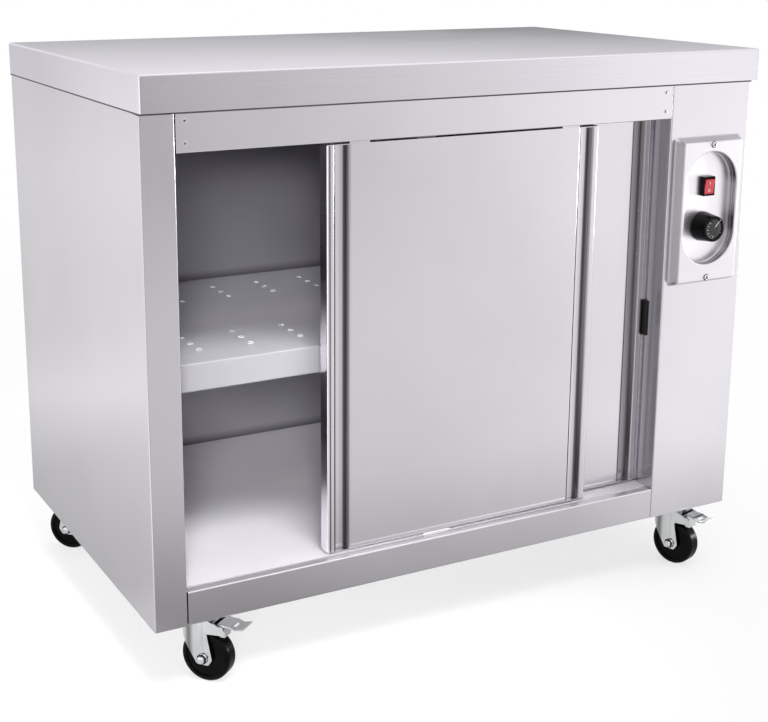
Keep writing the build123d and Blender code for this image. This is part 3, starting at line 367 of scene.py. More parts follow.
# phenolic: deep black, the sides with a moulded gloss, the knob's face more matt and a little greyer
blackGloss = mouldedPlastic("phenolicBlackGloss", dark="#050506", pale="#0a0a0c", roughness=0.2, sheen=0.1)
blackSatin = mouldedPlastic("phenolicBlackSatin", dark="#1d1b1f", pale="#262428", roughness=0.42, sheen=0.3)
# rocker: glossy red polycarbonate, its marks moulded through in pale pink
redLens = mouldedPlastic("polycarbonateRedRocker", dark="#c2303e", pale="#cf3c48", roughness=0.16, ior=1.58,
                         sheen=0.4)
rockerInk = mouldedPlastic("palePinkRockerMark", dark="#e6c9cc", pale="#efd8da", roughness=0.4)
# pad-printed ink: dull off-white on the knob's face
whiteInk = mouldedPlastic("padPrintedWhiteInk", dark="#dcdcdc", pale="#e8e8e8", roughness=0.5)
# natural nylon: milky, waxy rollers and blocks
nylonWhite = mouldedPlastic("nylonNaturalMoulded", dark="#d3d0c8", pale="#dedcd5", roughness=0.45, ior=1.53)
# rubbers: matt washers and buffer, and wheels polished by the mould; the black axle nuts share the matt look
blackRubber = mouldedPlastic("mouldedBlackRubber", dark="#0c0c0d", pale="#141415", roughness=0.5, ior=1.52,
                             sheen=0.3)
wheelRubber = mouldedPlastic("glossBlackWheelRubber", dark="#030304", pale="#060608", roughness=0.2,
                             sheen=0.09)
# mineral wool: straw-coloured, coarse and dead matt
woolSlab = mouldedPlastic("mineralWoolSlab", dark="#a58f5c", pale="#c2ad7a", roughness=0.95, spread=0.04,
                          peelSize=4, mottleSize=14, bump=0.9)
# woven sleeve over the wires: black with a coarse weave
braidSleeve = mouldedPlastic("braidedBlackSleeve", dark="#1a1a1b", pale="#2c2c2e", roughness=0.7,
                             peelSize=1.2, bump=0.6)
# dark grey, matt, uneven: the bead that paints the shadow line under the worktop, and the burnt spots of the
# welds
shadowLineAndWeldBurn = mouldedPlastic("paintedShadowLineAndWeldBurn", dark="#403e43", pale="#525055", roughness=0.6,
                              peelSize=2, mottleSize=60, bump=0.4, sheen=0.3)
# brush pile: pale grey, no gloss, its hairs drawn coarser than they are so that they show
paleSeal = mouldedPlastic("palePileSeal", dark="#95929a", pale="#a3a0a8", roughness=0.8, peelSize=1.0,
                          mottleSize=8, bump=0.5)
print("materials made:", len(bpy.data.materials))

finishes = {
    frontDoorSteel: ["front_door_skin"],
    rearDoorSteel: ["rear_door_skin"],
    panSteel: ["front_door_pan", "rear_door_pan"],
    frameSteel: ["left_side_panel"],
    sideSteel: ["right_side_panel", "back_panel", "control_fascia"],
    topSteel: ["worktop", "worktop_stiffener"],
    railSteel: ["top_rail", "base_pan"],
    sillSteel: ["sill_rail"],
    linerSteel: ["liner_left", "liner_back", "partition"],
    floorSteel: ["chamber_floor"],
    shelfSteel: ["shelf", "shelf_rail_left", "shelf_rail_right"],
    plateSteel: ["control_plate"],
    spindleSteel: ["thermostat_spindle"],
    chromeSteel: ["plate_screw_upper", "plate_screw_lower"],
    zincPlate: ["door_track", "front_door_stop", "brake_pedal_front_left", "brake_pedal_front_right"],
    sheathSteel: ["heating_element"],
    copperTube: ["thermostat_probe"],
    blackGloss: ["thermostat_knob", "switch_body", "cable_gland"],
    blackSatin: ["thermostat_body"],
    redLens: ["power_rocker"],
    nylonWhite: ["door_guide", "terminal_block", "front_door_roller_left", "front_door_roller_right",
                 "rear_door_roller_left", "rear_door_roller_right"],
    blackRubber: ["door_bumper"],
    woolSlab: ["insulation_back"],
    braidSleeve: ["wiring_harness"],
    wheelRubber: [],
}
casterCorners = ("front_left", "front_right", "rear_left", "rear_right")
for corner in casterCorners:
    finishes[zincPlate] += [f"caster_plate_{corner}", f"caster_axle_{corner}"]
    forkZinc = brushedSteel(f"zincPlatedFork_{corner}", **zincLooks, shades=[cheekPaintedShade(corner)])
    finishes[forkZinc] = [f"caster_fork_{corner}"]
    finishes[wheelRubber].append(f"caster_wheel_{corner}")

for material, names in finishes.items():
    for name in names:
        mesh = nodes[name].data
        mesh.materials.clear()
        mesh.materials.append(material)
        for polygon in mesh.polygons:
            polygon.material_index = 0
undressed = [name for name in nodes if name not in sum(finishes.values(), [])]
print("nodes dressed, left over:", undressed)


# helpers for the small pieces: every mesh is built point by point, in millimetres
def meshPiece(name, points, faces, material, body, smoothTo=40):
    mesh = bpy.data.meshes.new(name)
    mesh.from_pydata([Vector(point) * mm for point in points], [], faces)
    form = bmesh.new()
    form.from_mesh(mesh)
    bmesh.ops.recalc_face_normals(form, faces=form.faces)
    form.to_mesh(mesh)
    form.free()
    mesh.polygons.foreach_set("use_smooth", [True] * len(mesh.polygons))
    mesh.set_sharp_from_angle(angle=math.radians(smoothTo))
    mesh.materials.append(material)
    piece = bpy.data.objects.new(name, mesh)
    bpy.context.scene.collection.objects.link(piece)
    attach(piece, body)


def ringFaces(count, rings, loop=False):  # quads between rings of points, ends closed unless they loop
    faces = []
    for ring in range(rings if loop else rings - 1):
        for i in range(count):
            low, high = ring * count, (ring + 1) % rings * count
            faces.append((low + i, low + (i + 1) % count, high + (i + 1) % count, high + i))
    if not loop:
        faces += [tuple(range(count)), tuple(range((rings - 1) * count, rings * count))]
    return faces


def turned(centre, profile, axis=(0, -1, 0), sides=32, loop=False, turn=0.0):
    # rings of (radius, reach along the axis) about a centre; a looped profile makes a ring with a hole
    axis = Vector(axis).normalized()
    side = axis.orthogonal().normalized()
    up = axis.cross(side)
    points = []
    for radius, reach in profile:
        for i in range(sides):
            a = 2 * math.pi * i / sides + turn
            points.append(Vector(centre) + axis * reach + (side * math.cos(a) + up * math.sin(a)) * radius)
    return points, ringFaces(sides, len(profile), loop)


def scaled(section, radius, height):  # a profile from shares of a radius and a height
    return [(radius * wide, height * high) for wide, high in section]


def joined(parts):  # several (points, faces) as one mesh
    points, faces = [], []
    for somePoints, someFaces in parts:
        base = len(points)
        points += somePoints
        faces += [tuple(base + i for i in face) for face in someFaces]
    return points, faces


def raisedOutline(outline, place, height, soft=0.15, shoulder=0.7):
    # a flat mark with a softened rim, put on its face by a placing function
    middle = [sum(p[k] for p in outline) / len(outline) for k in (0, 1)]
    points = []
    for lift, shrink in ((-height, 0), (height * shoulder, 0), (height, soft)):
        for p in outline:
            toward = [m - v for v, m in zip(p, middle)]
            share = shrink / (math.hypot(*toward) or 1)
            points.append(place(p[0] + toward[0] * share, p[1] + toward[1] * share, lift))
    return points, ringFaces(len(outline), 3)


def roundPoints(radius, sides, middle=(0, 0)):
    angles = [2 * math.pi * i / sides for i in range(sides)]
    return [(middle[0] + radius * math.cos(a), middle[1] + radius * math.sin(a)) for a in angles]


def polar(angle, radius):
    a = math.radians(angle)
    return radius * math.cos(a), radius * math.sin(a)


def spoke(angle, inner, outer, width):  # a bar outline along a radius
    along, across = polar(angle, 1), polar(angle + 90, width / 2)
    return [(r * along[0] + s * across[0], r * along[1] + s * across[1])
            for r, s in ((inner, -1), (outer, -1), (outer, 1), (inner, 1))]


# a dark bead in the joint under the worktop, a painted shadow line of the overhang: taller along the front,
# where the overhang is deep
seam = {"frontHeight": 3.3, "sideHeight": 2.2, "above": 0.3, "proud": 0.6, "shoulder": 0.5, "toe": 0.6,
        "turnLength": 25.0, "sunk": 0.3}
leftSide, rightSide = corners("left_side_panel"), corners("right_side_panel")
x0, x1, turnAt = leftSide[0].x, rightSide[1].x, leftSide[0].y + seam["turnLength"]
y0, y1, z0 = leftSide[0].y, corners("back_panel")[1].y, leftSide[1].z
path = [(x0, y0, -1, -1, "frontHeight"), (x1, y0, 1, -1, "frontHeight"), (x1, turnAt, 1, 0, "sideHeight"),
        (x1, y1, 1, 1, "sideHeight"), (x0, y1, -1, 1, "sideHeight"), (x0, turnAt, -1, 0, "sideHeight")]
section = [(-seam["sunk"], seam["above"]), (seam["proud"], seam["above"])]
drops = [(seam["proud"], -seam["shoulder"]), (seam["proud"] * seam["toe"], -1), (-seam["sunk"], -1)]
points = []
for x, y, outX, outY, height in path:
    for out, drop in section + [(out, drop * seam[height]) for out, drop in drops]:
        points.append((x + outX * out, y + outY * out, z0 + drop))
faces = ringFaces(len(section + drops), len(path), loop=True)
meshPiece("worktopShadowLineBead", points, faces, shadowLineAndWeldBurn, "cabinet")

# pile seal in the gap between the rear door and the control column, in two lengths round the bumper
seal = {"width": 3.6, "root": 0.7, "sink": 0.6, "pitch": 6.0, "wave": 0.25, "clear": 1.0, "inset": 0.4,
        "nose": 2.0, "tail": 1.0}
doorLow, doorHigh = corners("rear_door_skin")
bumperLow, bumperHigh = corners("door_bumper")
reveal = corners("control_fascia")[0].x
front, back = doorLow.y + seal["inset"], doorHigh.y
parts = []
for z0, z1 in ((doorLow.z, bumperLow.z - seal["clear"]), (bumperHigh.z + seal["clear"], doorHigh.z)):
    steps = round((z1 - z0) / seal["pitch"])
    points = []
    for step in range(steps + 1):
        bulge = seal["wave"] * (step % 2)
        tip, root = reveal - seal["width"] + bulge, reveal + seal["sink"]
        section = [(root, front), (reveal - seal["width"] * seal["root"], front + bulge),
                   (tip, doorLow.y + seal["nose"]), (tip, back - seal["tail"]), (root, back)]
        points += [(x, y, z0 + (z1 - z0) * step / steps) for x, y in section]
    parts.append((points, ringFaces(len(section), steps + 1)))
meshPiece("rearDoorPileSeal", *joined(parts), paleSeal, "cabinet")

# knob: a satin disc let into the face, pointer, ticks, figures and two dots
knob = {"dish": 1.2, "discRadius": 15.6, "discHeight": 0.35, "discShoulder": 0.6, "discChamfer": 0.3,
        "discHollow": 0.97, "discMiddle": 1.0, "discSides": 72, "sunk": 0.3, "markHeight": 0.1,
        "pointerAngle": 48, "pointerFrom": 3.4, "pointerTo": 15.3, "rimFrom": 16.2, "rimTo": 18.2,
        "pointerWidth": 1.0, "ticks": 11, "tickFrom": 131, "tickStep": 13.4, "tickInner": 14.1,
        "tickOuter": 15.4, "tickWidth": 0.5, "tickHeight": 0.08, "figureFirst": 30, "figureStep": 5,
        "figureEvery": 2, "figureRadius": 11.9, "figureSize": 2.7, "figureDepth": 0.06,
        "figureLift": 0.04, "dotAngle": -27, "dotRadius": 14.4, "dotSize": 0.6, "middleSize": 0.35,
        "dotSides": 16}
knobLow, knobHigh = corners("thermostat_knob")
knobX, knobZ = (knobLow.x + knobHigh.x) / 2, (knobLow.z + knobHigh.z) / 2
dishFace = knobLow.y + knob["dish"]


def onKnob(u, v, lift):
    return (knobX + u, dishFace - knob["discHeight"] - lift, knobZ + v)


def onKnobRim(u, v, lift):
    return (knobX + u, knobLow.y - lift, knobZ + v)


radius, height = knob["discRadius"], knob["discHeight"]
disc = [(radius, -knob["sunk"]), (radius, height * knob["discShoulder"]),
        (radius - knob["discChamfer"], height), (radius / 2, height * knob["discHollow"]),
        (knob["discMiddle"], height)]
faceDisc = turned((knobX, dishFace, knobZ), disc, sides=knob["discSides"])
meshPiece("knobFaceDisc", *faceDisc, blackSatin, "knob", smoothTo=30)
pointer = spoke(knob["pointerAngle"], knob["pointerFrom"], knob["pointerTo"], knob["pointerWidth"])
rimPointer = spoke(knob["pointerAngle"], knob["rimFrom"], knob["rimTo"], knob["pointerWidth"])
dot = roundPoints(knob["dotSize"], knob["dotSides"], polar(knob["dotAngle"], knob["dotRadius"]))
marks = [raisedOutline(outline, place, knob["markHeight"]) for outline, place in
         ((pointer, onKnob), (rimPointer, onKnobRim), (dot, onKnob),
          (roundPoints(knob["middleSize"], knob["dotSides"]), onKnob))]
for i in range(knob["ticks"]):
    angle = knob["tickFrom"] + i * knob["tickStep"]
    tick = spoke(angle, knob["tickInner"], knob["tickOuter"], knob["tickWidth"])
    marks.append(raisedOutline(tick, onKnob, knob["tickHeight"]))
meshPiece("knobMarks", *joined(marks), whiteInk, "knob")
for i in range(0, knob["ticks"], knob["figureEvery"]):  # generic temperature figures
    angle = knob["tickFrom"] + i * knob["tickStep"]
    figure = bpy.data.curves.new(f"knobFigure{i}", "FONT")
    figure.body = str(knob["figureFirst"] + i * knob["figureStep"])
    figure.size = knob["figureSize"] * mm
    figure.extrude = knob["figureDepth"] * mm
    figure.align_x = figure.align_y = "CENTER"
    figure.materials.append(whiteInk)
    text = bpy.data.objects.new(f"knobFigure{i}", figure)
    text.location = Vector(onKnob(*polar(angle, knob["figureRadius"]), knob["figureLift"])) * mm
    text.rotation_euler = (math.radians(90), math.radians(180 - angle), 0)
    bpy.context.scene.collection.objects.link(text)
    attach(text, "knob")

# rocker: a bar and a ring moulded in pale plastic, on the two slopes of its face
rocker = {"tilt": 8, "valley": 3.4, "crest": 4.6, "barHeight": 3.8, "barWidth": 1.2, "markOffset": 5.9,
          "markHeight": 0.12, "sunk": 0.1, "ringOuter": 2.3, "ringInner": 1.5, "ringSides": 24}
pivot = Vector(joints["rocker_tilt"]["pos_m"]) / mm
rockerHalf = (corners("power_rocker")[1].z - corners("power_rocker")[0].z) / 2
tiltX, tiltY = polar(rocker["tilt"], 1)


def onRocker(u, v, lift):
    out = rocker["valley"] + (rocker["crest"] - rocker["valley"]) * abs(v) / rockerHalf + lift
    return (pivot.x + u, pivot.y - out * tiltX - v * tiltY, pivot.z - out * tiltY + v * tiltX)


high, wide, off = rocker["barHeight"] / 2, rocker["barWidth"] / 2, rocker["markOffset"]
bar = [(-wide, off - high), (wide, off - high), (wide, off + high), (-wide, off + high)]
points = []
for radius, lift in ((rocker["ringInner"], -rocker["sunk"]), (rocker["ringInner"], rocker["markHeight"]),
                     (rocker["ringOuter"], rocker["markHeight"]), (rocker["ringOuter"], -rocker["sunk"])):
    points += [onRocker(u, v, lift) for u, v in roundPoints(radius, rocker["ringSides"], (0, -off))]
marks = [raisedOutline(bar, onRocker, rocker["markHeight"]),
         (points, ringFaces(rocker["ringSides"], 4, loop=True))]
meshPiece("rockerMarks", *joined(marks), rockerInk, "rocker")

# plate screws: a dark rubber washer under each head, and a dark cross on each head as painted shade in its
# recess
screw = {"headHeight": 2.1, "washerHole": 2.3, "washerProud": 1.0, "washerHeight": 0.5, "washerRim": 0.3,
         "inner": 0.7, "underHead": 0.9, "outer": 0.4, "sunk": 0.1, "armLength": 6.2, "armWidth": 1.7,
         "turn": 35, "crossHeight": 0.06, "crossSoft": 0.1}
for label in ("upper", "lower"):
    low, high = corners(f"plate_screw_{label}")
    x, z, headRadius = (low.x + high.x) / 2, (low.z + high.z) / 2, (high.x - low.x) / 2
    hole, edge, lift = screw["washerHole"], headRadius + screw["washerProud"], screw["washerHeight"]
    ring = [(hole, -screw["sunk"]), (hole, lift * screw["inner"]), (headRadius, lift * screw["underHead"]),
            (edge - screw["washerRim"], lift), (edge, lift * screw["outer"]), (edge, -screw["sunk"])]
    washer = turned((x, low.y + screw["headHeight"], z), ring, loop=True)
    meshPiece(f"plateScrewWasher_{label}", *washer, blackRubber, "cabinet")
    arms = []
    for turn in (screw["turn"], screw["turn"] + 90):
        bar = spoke(turn, -screw["armLength"] / 2, screw["armLength"] / 2, screw["armWidth"])
        arms.append(raisedOutline(bar, lambda u, v, rise: (x + u, low.y - rise, z + v), screw["crossHeight"],
                                  screw["crossSoft"]))
    meshPiece(f"plateScrewShadeCross_{label}", *joined(arms), blackSatin, "cabinet")

# spot welds at both ends of the top rail: shallow dimples with a faint raised rim, burnt dark in the middle
weld = {"inset": 12.2, "radius": 3.2, "height": 0.2, "sides": 24, "burn": 1.5, "burnHeight": 0.12,
        "burnSides": 16, "section": ((1.15, -0.25), (1, 1), (0.8, 1), (0.55, 0.25), (0.2, 0.25)),
        "burnSection": ((1, 0), (1, 0.6), (0.7, 1))}
low, high = corners("top_rail")
dimples, burns = [], []
for x in (low.x + weld["inset"], high.x - weld["inset"]):
    for z in (low.z + weld["inset"], high.z - weld["inset"]):
        dimple = scaled(weld["section"], weld["radius"], weld["height"])
        burn = scaled(weld["burnSection"], weld["burn"], weld["burnHeight"])
        dimples.append(turned((x, low.y, z), dimple, sides=weld["sides"]))
        burns.append(turned((x, low.y, z), burn, sides=weld["burnSides"]))
meshPiece("topRailSpotWelds", *joined(dimples), sillSteel, "cabinet")
meshPiece("topRailWeldBurns", *joined(burns), shadowLineAndWeldBurn, "cabinet")

# hems along the foot of each door face: the sheet's folded edge, a soft bead that catches the light
hem = {"height": 6.5, "proud": 0.85, "inset": 36.5, "drop": 0.3, "sunk": 0.3, "ends": 1.5, "endShare": 0.2,
       "steps": 8}
for body, steel in (("front_door", frontDoorSteel), ("rear_door", rearDoorSteel)):
    low, high = corners(f"{body}_skin")
    x0, x1, foot = low.x + hem["inset"], high.x - hem["inset"], low.z - hem["drop"]
    ends = [(x0, hem["endShare"]), (x0 + hem["ends"], 1), (x1 - hem["ends"], 1), (x1, hem["endShare"])]
    points = []
    for x, share in ends:
        points.append((x, low.y + hem["sunk"], foot))
        for i in range(hem["steps"] + 1):
            a = math.pi * i / hem["steps"]
            rise = hem["height"] * (1 - math.cos(a)) / 2
            points.append((x, low.y - hem["proud"] * math.sin(a) * share, foot + rise))
        points.append((x, low.y + hem["sunk"], foot + hem["height"]))
    meshPiece(f"{body}_hem", points, ringFaces(len(points) // len(ends), len(ends)), steel, body)

# grip channels: a trough with sloping flanks stands in each deep fold of the door faces
flank, depth, soft = channel["flank"], channel["depth"], channel["round"]
halfTrough = [(0, 0), (flank - soft, depth * (1 - soft / flank)), (flank - soft * channel["blend"], depth),
              (flank + soft, depth)]
for body in ("front_door", "rear_door"):
    low, high = corners(f"{body}_skin")
    face, back = low.y + channel["seat"], low.y + channel["seat"] + depth + channel["back"]
    for side, x0 in (("left", low.x + lip["width"]), ("right", high.x - lip["width"] - channel["width"])):
        x1 = x0 + channel["width"]
        profile = [(x0 + inward, face + sink) for inward, sink in halfTrough]
        profile += [(x1 - inward, face + sink) for inward, sink in reversed(halfTrough)]
        profile += [(x1, back), (x0, back)]
        levels = (low.z + channel["low"], (low.z + high.z) / 2, high.z - channel["low"])
        points = [(x, y, z) for z in levels for x, y in profile]
        faces = ringFaces(len(profile), len(levels))
        meshPiece(f"{body}_grip_{side}", points, faces, channelSteel, body, smoothTo=30)

# drawn collars round the shelf's holes: bright lips that stand just above the sheet
collar = {"rows": (-133.0, 133.0), "across": 79.0, "deep": 33.5, "countAcross": 9, "countDeep": 3,
          "hole": 4.0, "width": 0.9, "height": 0.5, "sides": 20,
          "section": ((0, -0.4), (0, 0.7), (0.4, 1), (1, 0.3), (1, -0.4))}
low, high = corners("shelf")
middle = (low + high) / 2
lipRing = scaled(collar["section"], collar["width"], collar["height"])
ring = [(collar["hole"] + wide, rise) for wide, rise in lipRing]
parts = []
for row in collar["rows"]:
    for i in range(collar["countAcross"]):
        for j in range(collar["countDeep"]):
            x = middle.x + (i - (collar["countAcross"] - 1) / 2) * collar["across"]
            y = middle.y + row + (j - (collar["countDeep"] - 1) / 2) * collar["deep"]
            parts.append(turned((x, y, high.z), ring, axis=(0, 0, 1), sides=collar["sides"], loop=True))
meshPiece("shelfHoleCollars", *joined(parts), punchedSteel, "cabinet")

# caster bolts under each top plate, and a black nut with a chromed cap on each end of every axle
bolt = {"spreadX": 24.0, "spreadY": 35.5, "radius": 5.8, "height": 4.0, "plate": 2.5, "turn": 20,
        "section": ((1.25, -0.025), (1.25, 0.2), (1, 0.2), (1, 0.875), (0.86, 1))}
cap = {"nutRadius": 8.0, "nutSection": ((1, -4.6), (1, -3.0), (0.88, -2.6)), "capRadius": 5.5,
       "capFrom": 3.0, "capFoot": 0.8, "capHeight": 0.9, "capSteps": 6, "capSides": 28}
for corner in casterCorners:
    low, high = corners(f"caster_plate_{corner}")
    x, y, top = (low.x + high.x) / 2, (low.y + high.y) / 2, high.z - bolt["plate"]
    head = scaled(bolt["section"], bolt["radius"], bolt["height"])
    parts = []
    for sx in (-1, 1):
        for sy in (-1, 1):
            place = (x + sx * bolt["spreadX"], y + sy * bolt["spreadY"], top)
            parts.append(turned(place, head, axis=(0, 0, -1), sides=6, turn=math.radians(bolt["turn"] * sx)))
    meshPiece(f"casterBolts_{corner}", *joined(parts), zincPlate, "cabinet", smoothTo=20)
    spin = joints[f"wheel_spin_{corner}"]
    centre, axis = Vector(spin["pos_m"]) / mm, Vector(spin["axis"])
    axle = nodes[f"caster_axle_{corner}"].data
    reach = max((vertex.co / mm - centre).dot(axis) for vertex in axle.vertices)
    nut = [(cap["nutRadius"] * wide, reach + along) for wide, along in cap["nutSection"]]
    dome = [(cap["capRadius"], reach - cap["capFrom"])]
    for i in range(cap["capSteps"]):
        a = math.pi / 2 * i / cap["capSteps"]
        rise = (cap["capHeight"] + cap["capFoot"]) * math.sin(a) - cap["capFoot"]
        dome.append((cap["capRadius"] * math.cos(a), reach + rise))
    nuts = [turned(centre, nut, axis=axis * side, sides=6) for side in (-1, 1)]
    caps = [turned(centre, dome, axis=axis * side, sides=cap["capSides"]) for side in (-1, 1)]
    meshPiece(f"axleNuts_{corner}", *joined(nuts), blackRubber, f"fork_{corner}", smoothTo=20)
    meshPiece(f"axleCaps_{corner}", *joined(caps), chromeSteel, f"fork_{corner}", smoothTo=50)

# back panel screws: pan heads along its edges
backScrew = {"inset": 28.0, "columns": 5, "sideRows": (350.0, 560.0), "radius": 4.2, "height": 1.9,
             "sunk": 0.2, "sides": 20,
             "section": ((1, 0.35), (0.8, 0.8), (0.4, 1), (0.36, 0.5), (0.1, 0.45))}
low, high = corners("back_panel")
left, right = low.x + backScrew["inset"], high.x - backScrew["inset"]
columns = [left + (right - left) * i / (backScrew["columns"] - 1) for i in range(backScrew["columns"])]
spots = [(x, z) for x in columns for z in (low.z + backScrew["inset"], high.z - backScrew["inset"])]
spots += [(x, z) for x in (left, right) for z in backScrew["sideRows"]]
head = [(backScrew["radius"], -backScrew["sunk"])]
head += scaled(backScrew["section"], backScrew["radius"], backScrew["height"])
parts = [turned((x, high.y, z), head, axis=(0, 1, 0), sides=backScrew["sides"]) for x, z in spots]
meshPiece("backPanelScrews", *joined(parts), chromeSteel, "cabinet", smoothTo=35)
print("small pieces made")

# studio: a pale floor, soft lamps, and a room whose walls shade off behind and to the left;
# the rings are how bright metal sees the floor, near and far, by bearing in degrees from the front
studio = {
    "floorHalf": 30.0, "floorColour": "#ffffff", "roomLevel": 0.85,
    "footShade": 0.5, "footReach": 0.6, "footCentre": (0.0, 0.15, 0.0), "footHalf": (0.5, 0.45, 1.0),
    "nearRing": [(-180, 0.78), (-155, 0.8), (-148, 0.97), (-140, 1.2), (-98, 1.2), (-88, 1.45), (-58, 1.45),
                 (-46, 1.0), (-38, 0.65), (-25, 0.7), (0, 0.95), (20, 1.03), (35, 1.12), (45, 1.4),
                 (62, 1.2), (90, 1.05), (180, 0.8)],
    "farRing": [(-180, 0.78), (-162, 0.82), (-155, 1.1), (-150, 1.3), (-98, 1.2), (-88, 1.45), (-58, 1.45),
                (-46, 1.0), (-38, 0.65), (12, 0.6), (17, 0.75), (25, 0.95), (30, 1.07), (36, 1.22),
                (39, 1.42), (42, 1.5), (62, 1.2), (90, 1.05), (180, 0.8)],
    "ringBlend": (1.8, 4.5), "whiteSpan": (1.5, 3.2), "seenWhite": 0.68,
    "wallLevels": (0.07, 1.2), "wallSpan": (3.2, 5.0), "wallBearing": 20, "wallEdges": (0.80, 0.963),
    "roomGloss": 1.05, "domeLevel": 1.4, "domeSpan": (22, 42), "spotBlend": 0.6,
}
# name, kind, power, place, size, what it points at, width of the beam in degrees, whether metal shows it
lamps = [
    ("keyLamp", "AREA", 8, (2.6, -3.2, 2.8), 2.2, (0, 0, 0.4), 180, True),
    ("fillLamp", "AREA", 5, (-3.4, -1.0, 2.6), 2.4, (0, 0, 0.4), 180, True),
    ("topLamp", "AREA", 8, (0.2, 0.4, 3.6), 2.6, (0, 0, 0.4), 180, True),
    ("bayHighLamp", "SPOT", 300, (-0.45, -1.15, 2.1), 0.5, (-0.33, -0.2, 0.35), 26, False),
    ("bayLowLamp", "SPOT", 255, (-1.1, -1.9, 1.0), 0.25, (-0.31, -0.27, 0.42), 23, False),
    ("sparkLamp", "AREA", 20, (2.6, -0.9, 0.35), 0.4, (0.3, -0.25, 0.2), 180, True),
]
for name, kind, power, place, size, aim, beam, glossy in lamps:
    lamp = bpy.data.lights.new(name, kind)
    lamp.energy = power
    if kind == "SPOT":
        lamp.shadow_soft_size = size
        lamp.spot_size = math.radians(beam)
        lamp.spot_blend = studio["spotBlend"]
    else:
        lamp.size = size
    lampObject = bpy.data.objects.new(name, lamp)
    lampObject.location = place
    lampObject.rotation_euler = (Vector(aim) - Vector(place)).to_track_quat("-Z", "Y").to_euler()
    lampObject.visible_glossy = glossy
    bpy.context.scene.collection.objects.link(lampObject)


def sines(span):  # of two elevations in degrees
    return [math.sin(math.radians(angle)) for angle in span]


world = bpy.data.worlds.new("softRoom")
world.use_nodes = True
tree = world.node_tree
tree.nodes.clear()
rays = addNode(tree, "LightPath")
ahead = addNode(tree, "SeparateXYZ", (addNode(tree, "TexCoord")["Generated"],))
wall = addNode(tree, "MapRange", (ahead["Z"], *sines(studio["wallSpan"]), *studio["wallLevels"]),
               interpolation_type="SMOOTHSTEP")[0]
around = addNode(tree, "CombineXYZ", (ahead["X"], ahead["Y"]))[0]
around = addNode(tree, "VectorMath", (around,), operation="NORMALIZE")[0]
wallMiddle = (*polar(90 - studio["wallBearing"], 1), 0)
toward = addNode(tree, "VectorMath", (around, wallMiddle), operation="DOT_PRODUCT")["Value"]
window = addNode(tree, "MapRange", (toward, *studio["wallEdges"]), interpolation_type="SMOOTHSTEP")[0]
walls = addNode(tree, "Mix", {0: window, 2: studio["roomGloss"], 3: wall})[0]
dome = addNode(tree, "MapRange", (ahead["Z"], *sines(studio["domeSpan"])),
               interpolation_type="SMOOTHSTEP")[0]
room = addNode(tree, "Mix", {0: dome, 2: walls, 3: studio["domeLevel"]})[0]
lit = addNode(tree, "Mix", {0: rays["Is Glossy Ray"], 2: studio["roomLevel"], 3: room})[0]
seen = addNode(tree, "Math", (rays["Is Camera Ray"], rays["Is Transmission Ray"]), operation="MAXIMUM")[0]
level = addNode(tree, "Mix", {0: seen, 2: lit, 3: 1.0})[0]
sky = addNode(tree, "Background", {"Color": (1, 1, 1, 1), "Strength": level})[0]
addNode(tree, "OutputWorld", {"Surface": sky})
bpy.context.scene.world = world

floorMesh = bpy.data.meshes.new("studioFloor")
half = studio["floorHalf"]
floorMesh.from_pydata([(-half, -half, 0), (half, -half, 0), (half, half, 0), (-half, half, 0)], [],
                      [(0, 1, 2, 3)])
studioFloor = bpy.data.objects.new("studioFloor", floorMesh)
bpy.context.scene.collection.objects.link(studioFloor)
material, tree = newMaterial("matPaleFloor")
rays = addNode(tree, "LightPath")
place = addNode(tree, "SeparateXYZ", (addNode(tree, "TexCoord")["Object"],))
flat = addNode(tree, "CombineXYZ", (place["X"], place["Y"]))[0]
far = addNode(tree, "VectorMath", (flat,), operation="LENGTH")["Value"]
moved = addNode(tree, "VectorMath", (flat, studio["footCentre"]), operation="SUBTRACT")[0]
folded = addNode(tree, "VectorMath", (moved,), operation="ABSOLUTE")[0]
past = addNode(tree, "VectorMath", (folded, studio["footHalf"]), operation="SUBTRACT")[0]
outside = addNode(tree, "VectorMath", (past, (0, 0, 0)), operation="MAXIMUM")[0]
gap = addNode(tree, "VectorMath", (outside,), operation="LENGTH")["Value"]
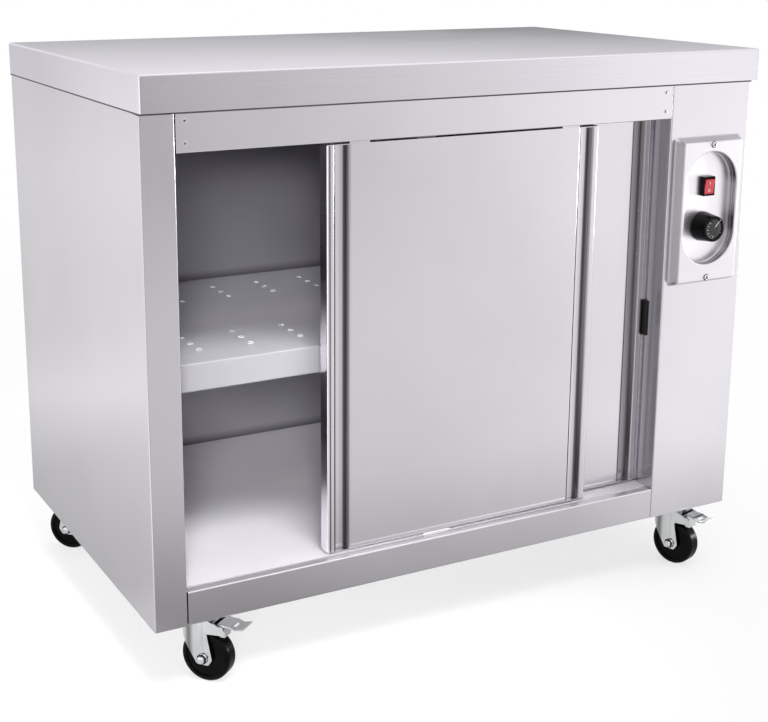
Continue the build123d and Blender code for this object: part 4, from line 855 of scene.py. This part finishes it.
# painted shadow round the cabinet's foot, in the floor that metal sees
shade = addNode(tree, "MapRange", (gap, 0.0, studio["footReach"], studio["footShade"], 1.0))[0]
forward = addNode(tree, "Math", (place["Y"], -1.0), operation="MULTIPLY")[0]
bearing = addNode(tree, "Math", (place["X"], forward), operation="ARCTAN2")[0]
turn = addNode(tree, "MapRange", (bearing, -math.pi, math.pi))[0]
near, away = [levelAlong(tree, turn, [((angle + 180) / 360, level) for angle, level in studio[key]])
              for key in ("nearRing", "farRing")]
spread = addNode(tree, "MapRange", (far, *studio["ringBlend"]))[0]
rings = addNode(tree, "Mix", {0: spread, 2: near, 3: away})[0]
reflected = addNode(tree, "Math", (shade, rings), operation="MULTIPLY")[0]
mattPaint = addNode(tree, "BsdfDiffuse", {"Color": toLinear(studio["floorColour"])})[0]
# glossy rays see the floor as a glow: a painted reflection, lighter and darker by bearing, with the painted
# shadow round the foot
glow = addNode(tree, "Emission", {"Color": (1, 1, 1, 1), "Strength": reflected})[0]
whiteAway = addNode(tree, "MapRange", (far, *studio["whiteSpan"], studio["seenWhite"], 1.0),
                    interpolation_type="SMOOTHSTEP")[0]
seenAway = addNode(tree, "Math", (whiteAway, rays["Is Camera Ray"]), operation="MULTIPLY")[0]
paper = addNode(tree, "Emission", {"Color": (1, 1, 1, 1), "Strength": 1.0})[0]
ground = addNode(tree, "MixShader", (seenAway, mattPaint, paper))[0]
mirrored = addNode(tree, "MixShader", (rays["Is Glossy Ray"], ground, glow))[0]
addNode(tree, "OutputMaterial", {"Surface": mirrored})
floorMesh.materials.append(material)
print("studio set")

camera = {"sensor": 36, "lens": 66.987, "shiftX": 0.02117, "shiftY": -0.10, "clipEnd": 200,
          "place": (-1.08659, -1.95988, 1.01303), "turn": (76.349, -0.264, -28.495)}
cameraData = bpy.data.cameras.new("productCamera")
cameraData.sensor_width = camera["sensor"]
cameraData.lens = camera["lens"]
cameraData.shift_x = camera["shiftX"]
cameraData.shift_y = camera["shiftY"]
cameraData.clip_end = camera["clipEnd"]
cameraObject = bpy.data.objects.new("productCamera", cameraData)
cameraObject.location = camera["place"]
cameraObject.rotation_euler = [math.radians(angle) for angle in camera["turn"]]
bpy.context.scene.collection.objects.link(cameraObject)
bpy.context.scene.camera = cameraObject
bpy.context.scene.view_settings.view_transform = "Standard"
print("camera set")
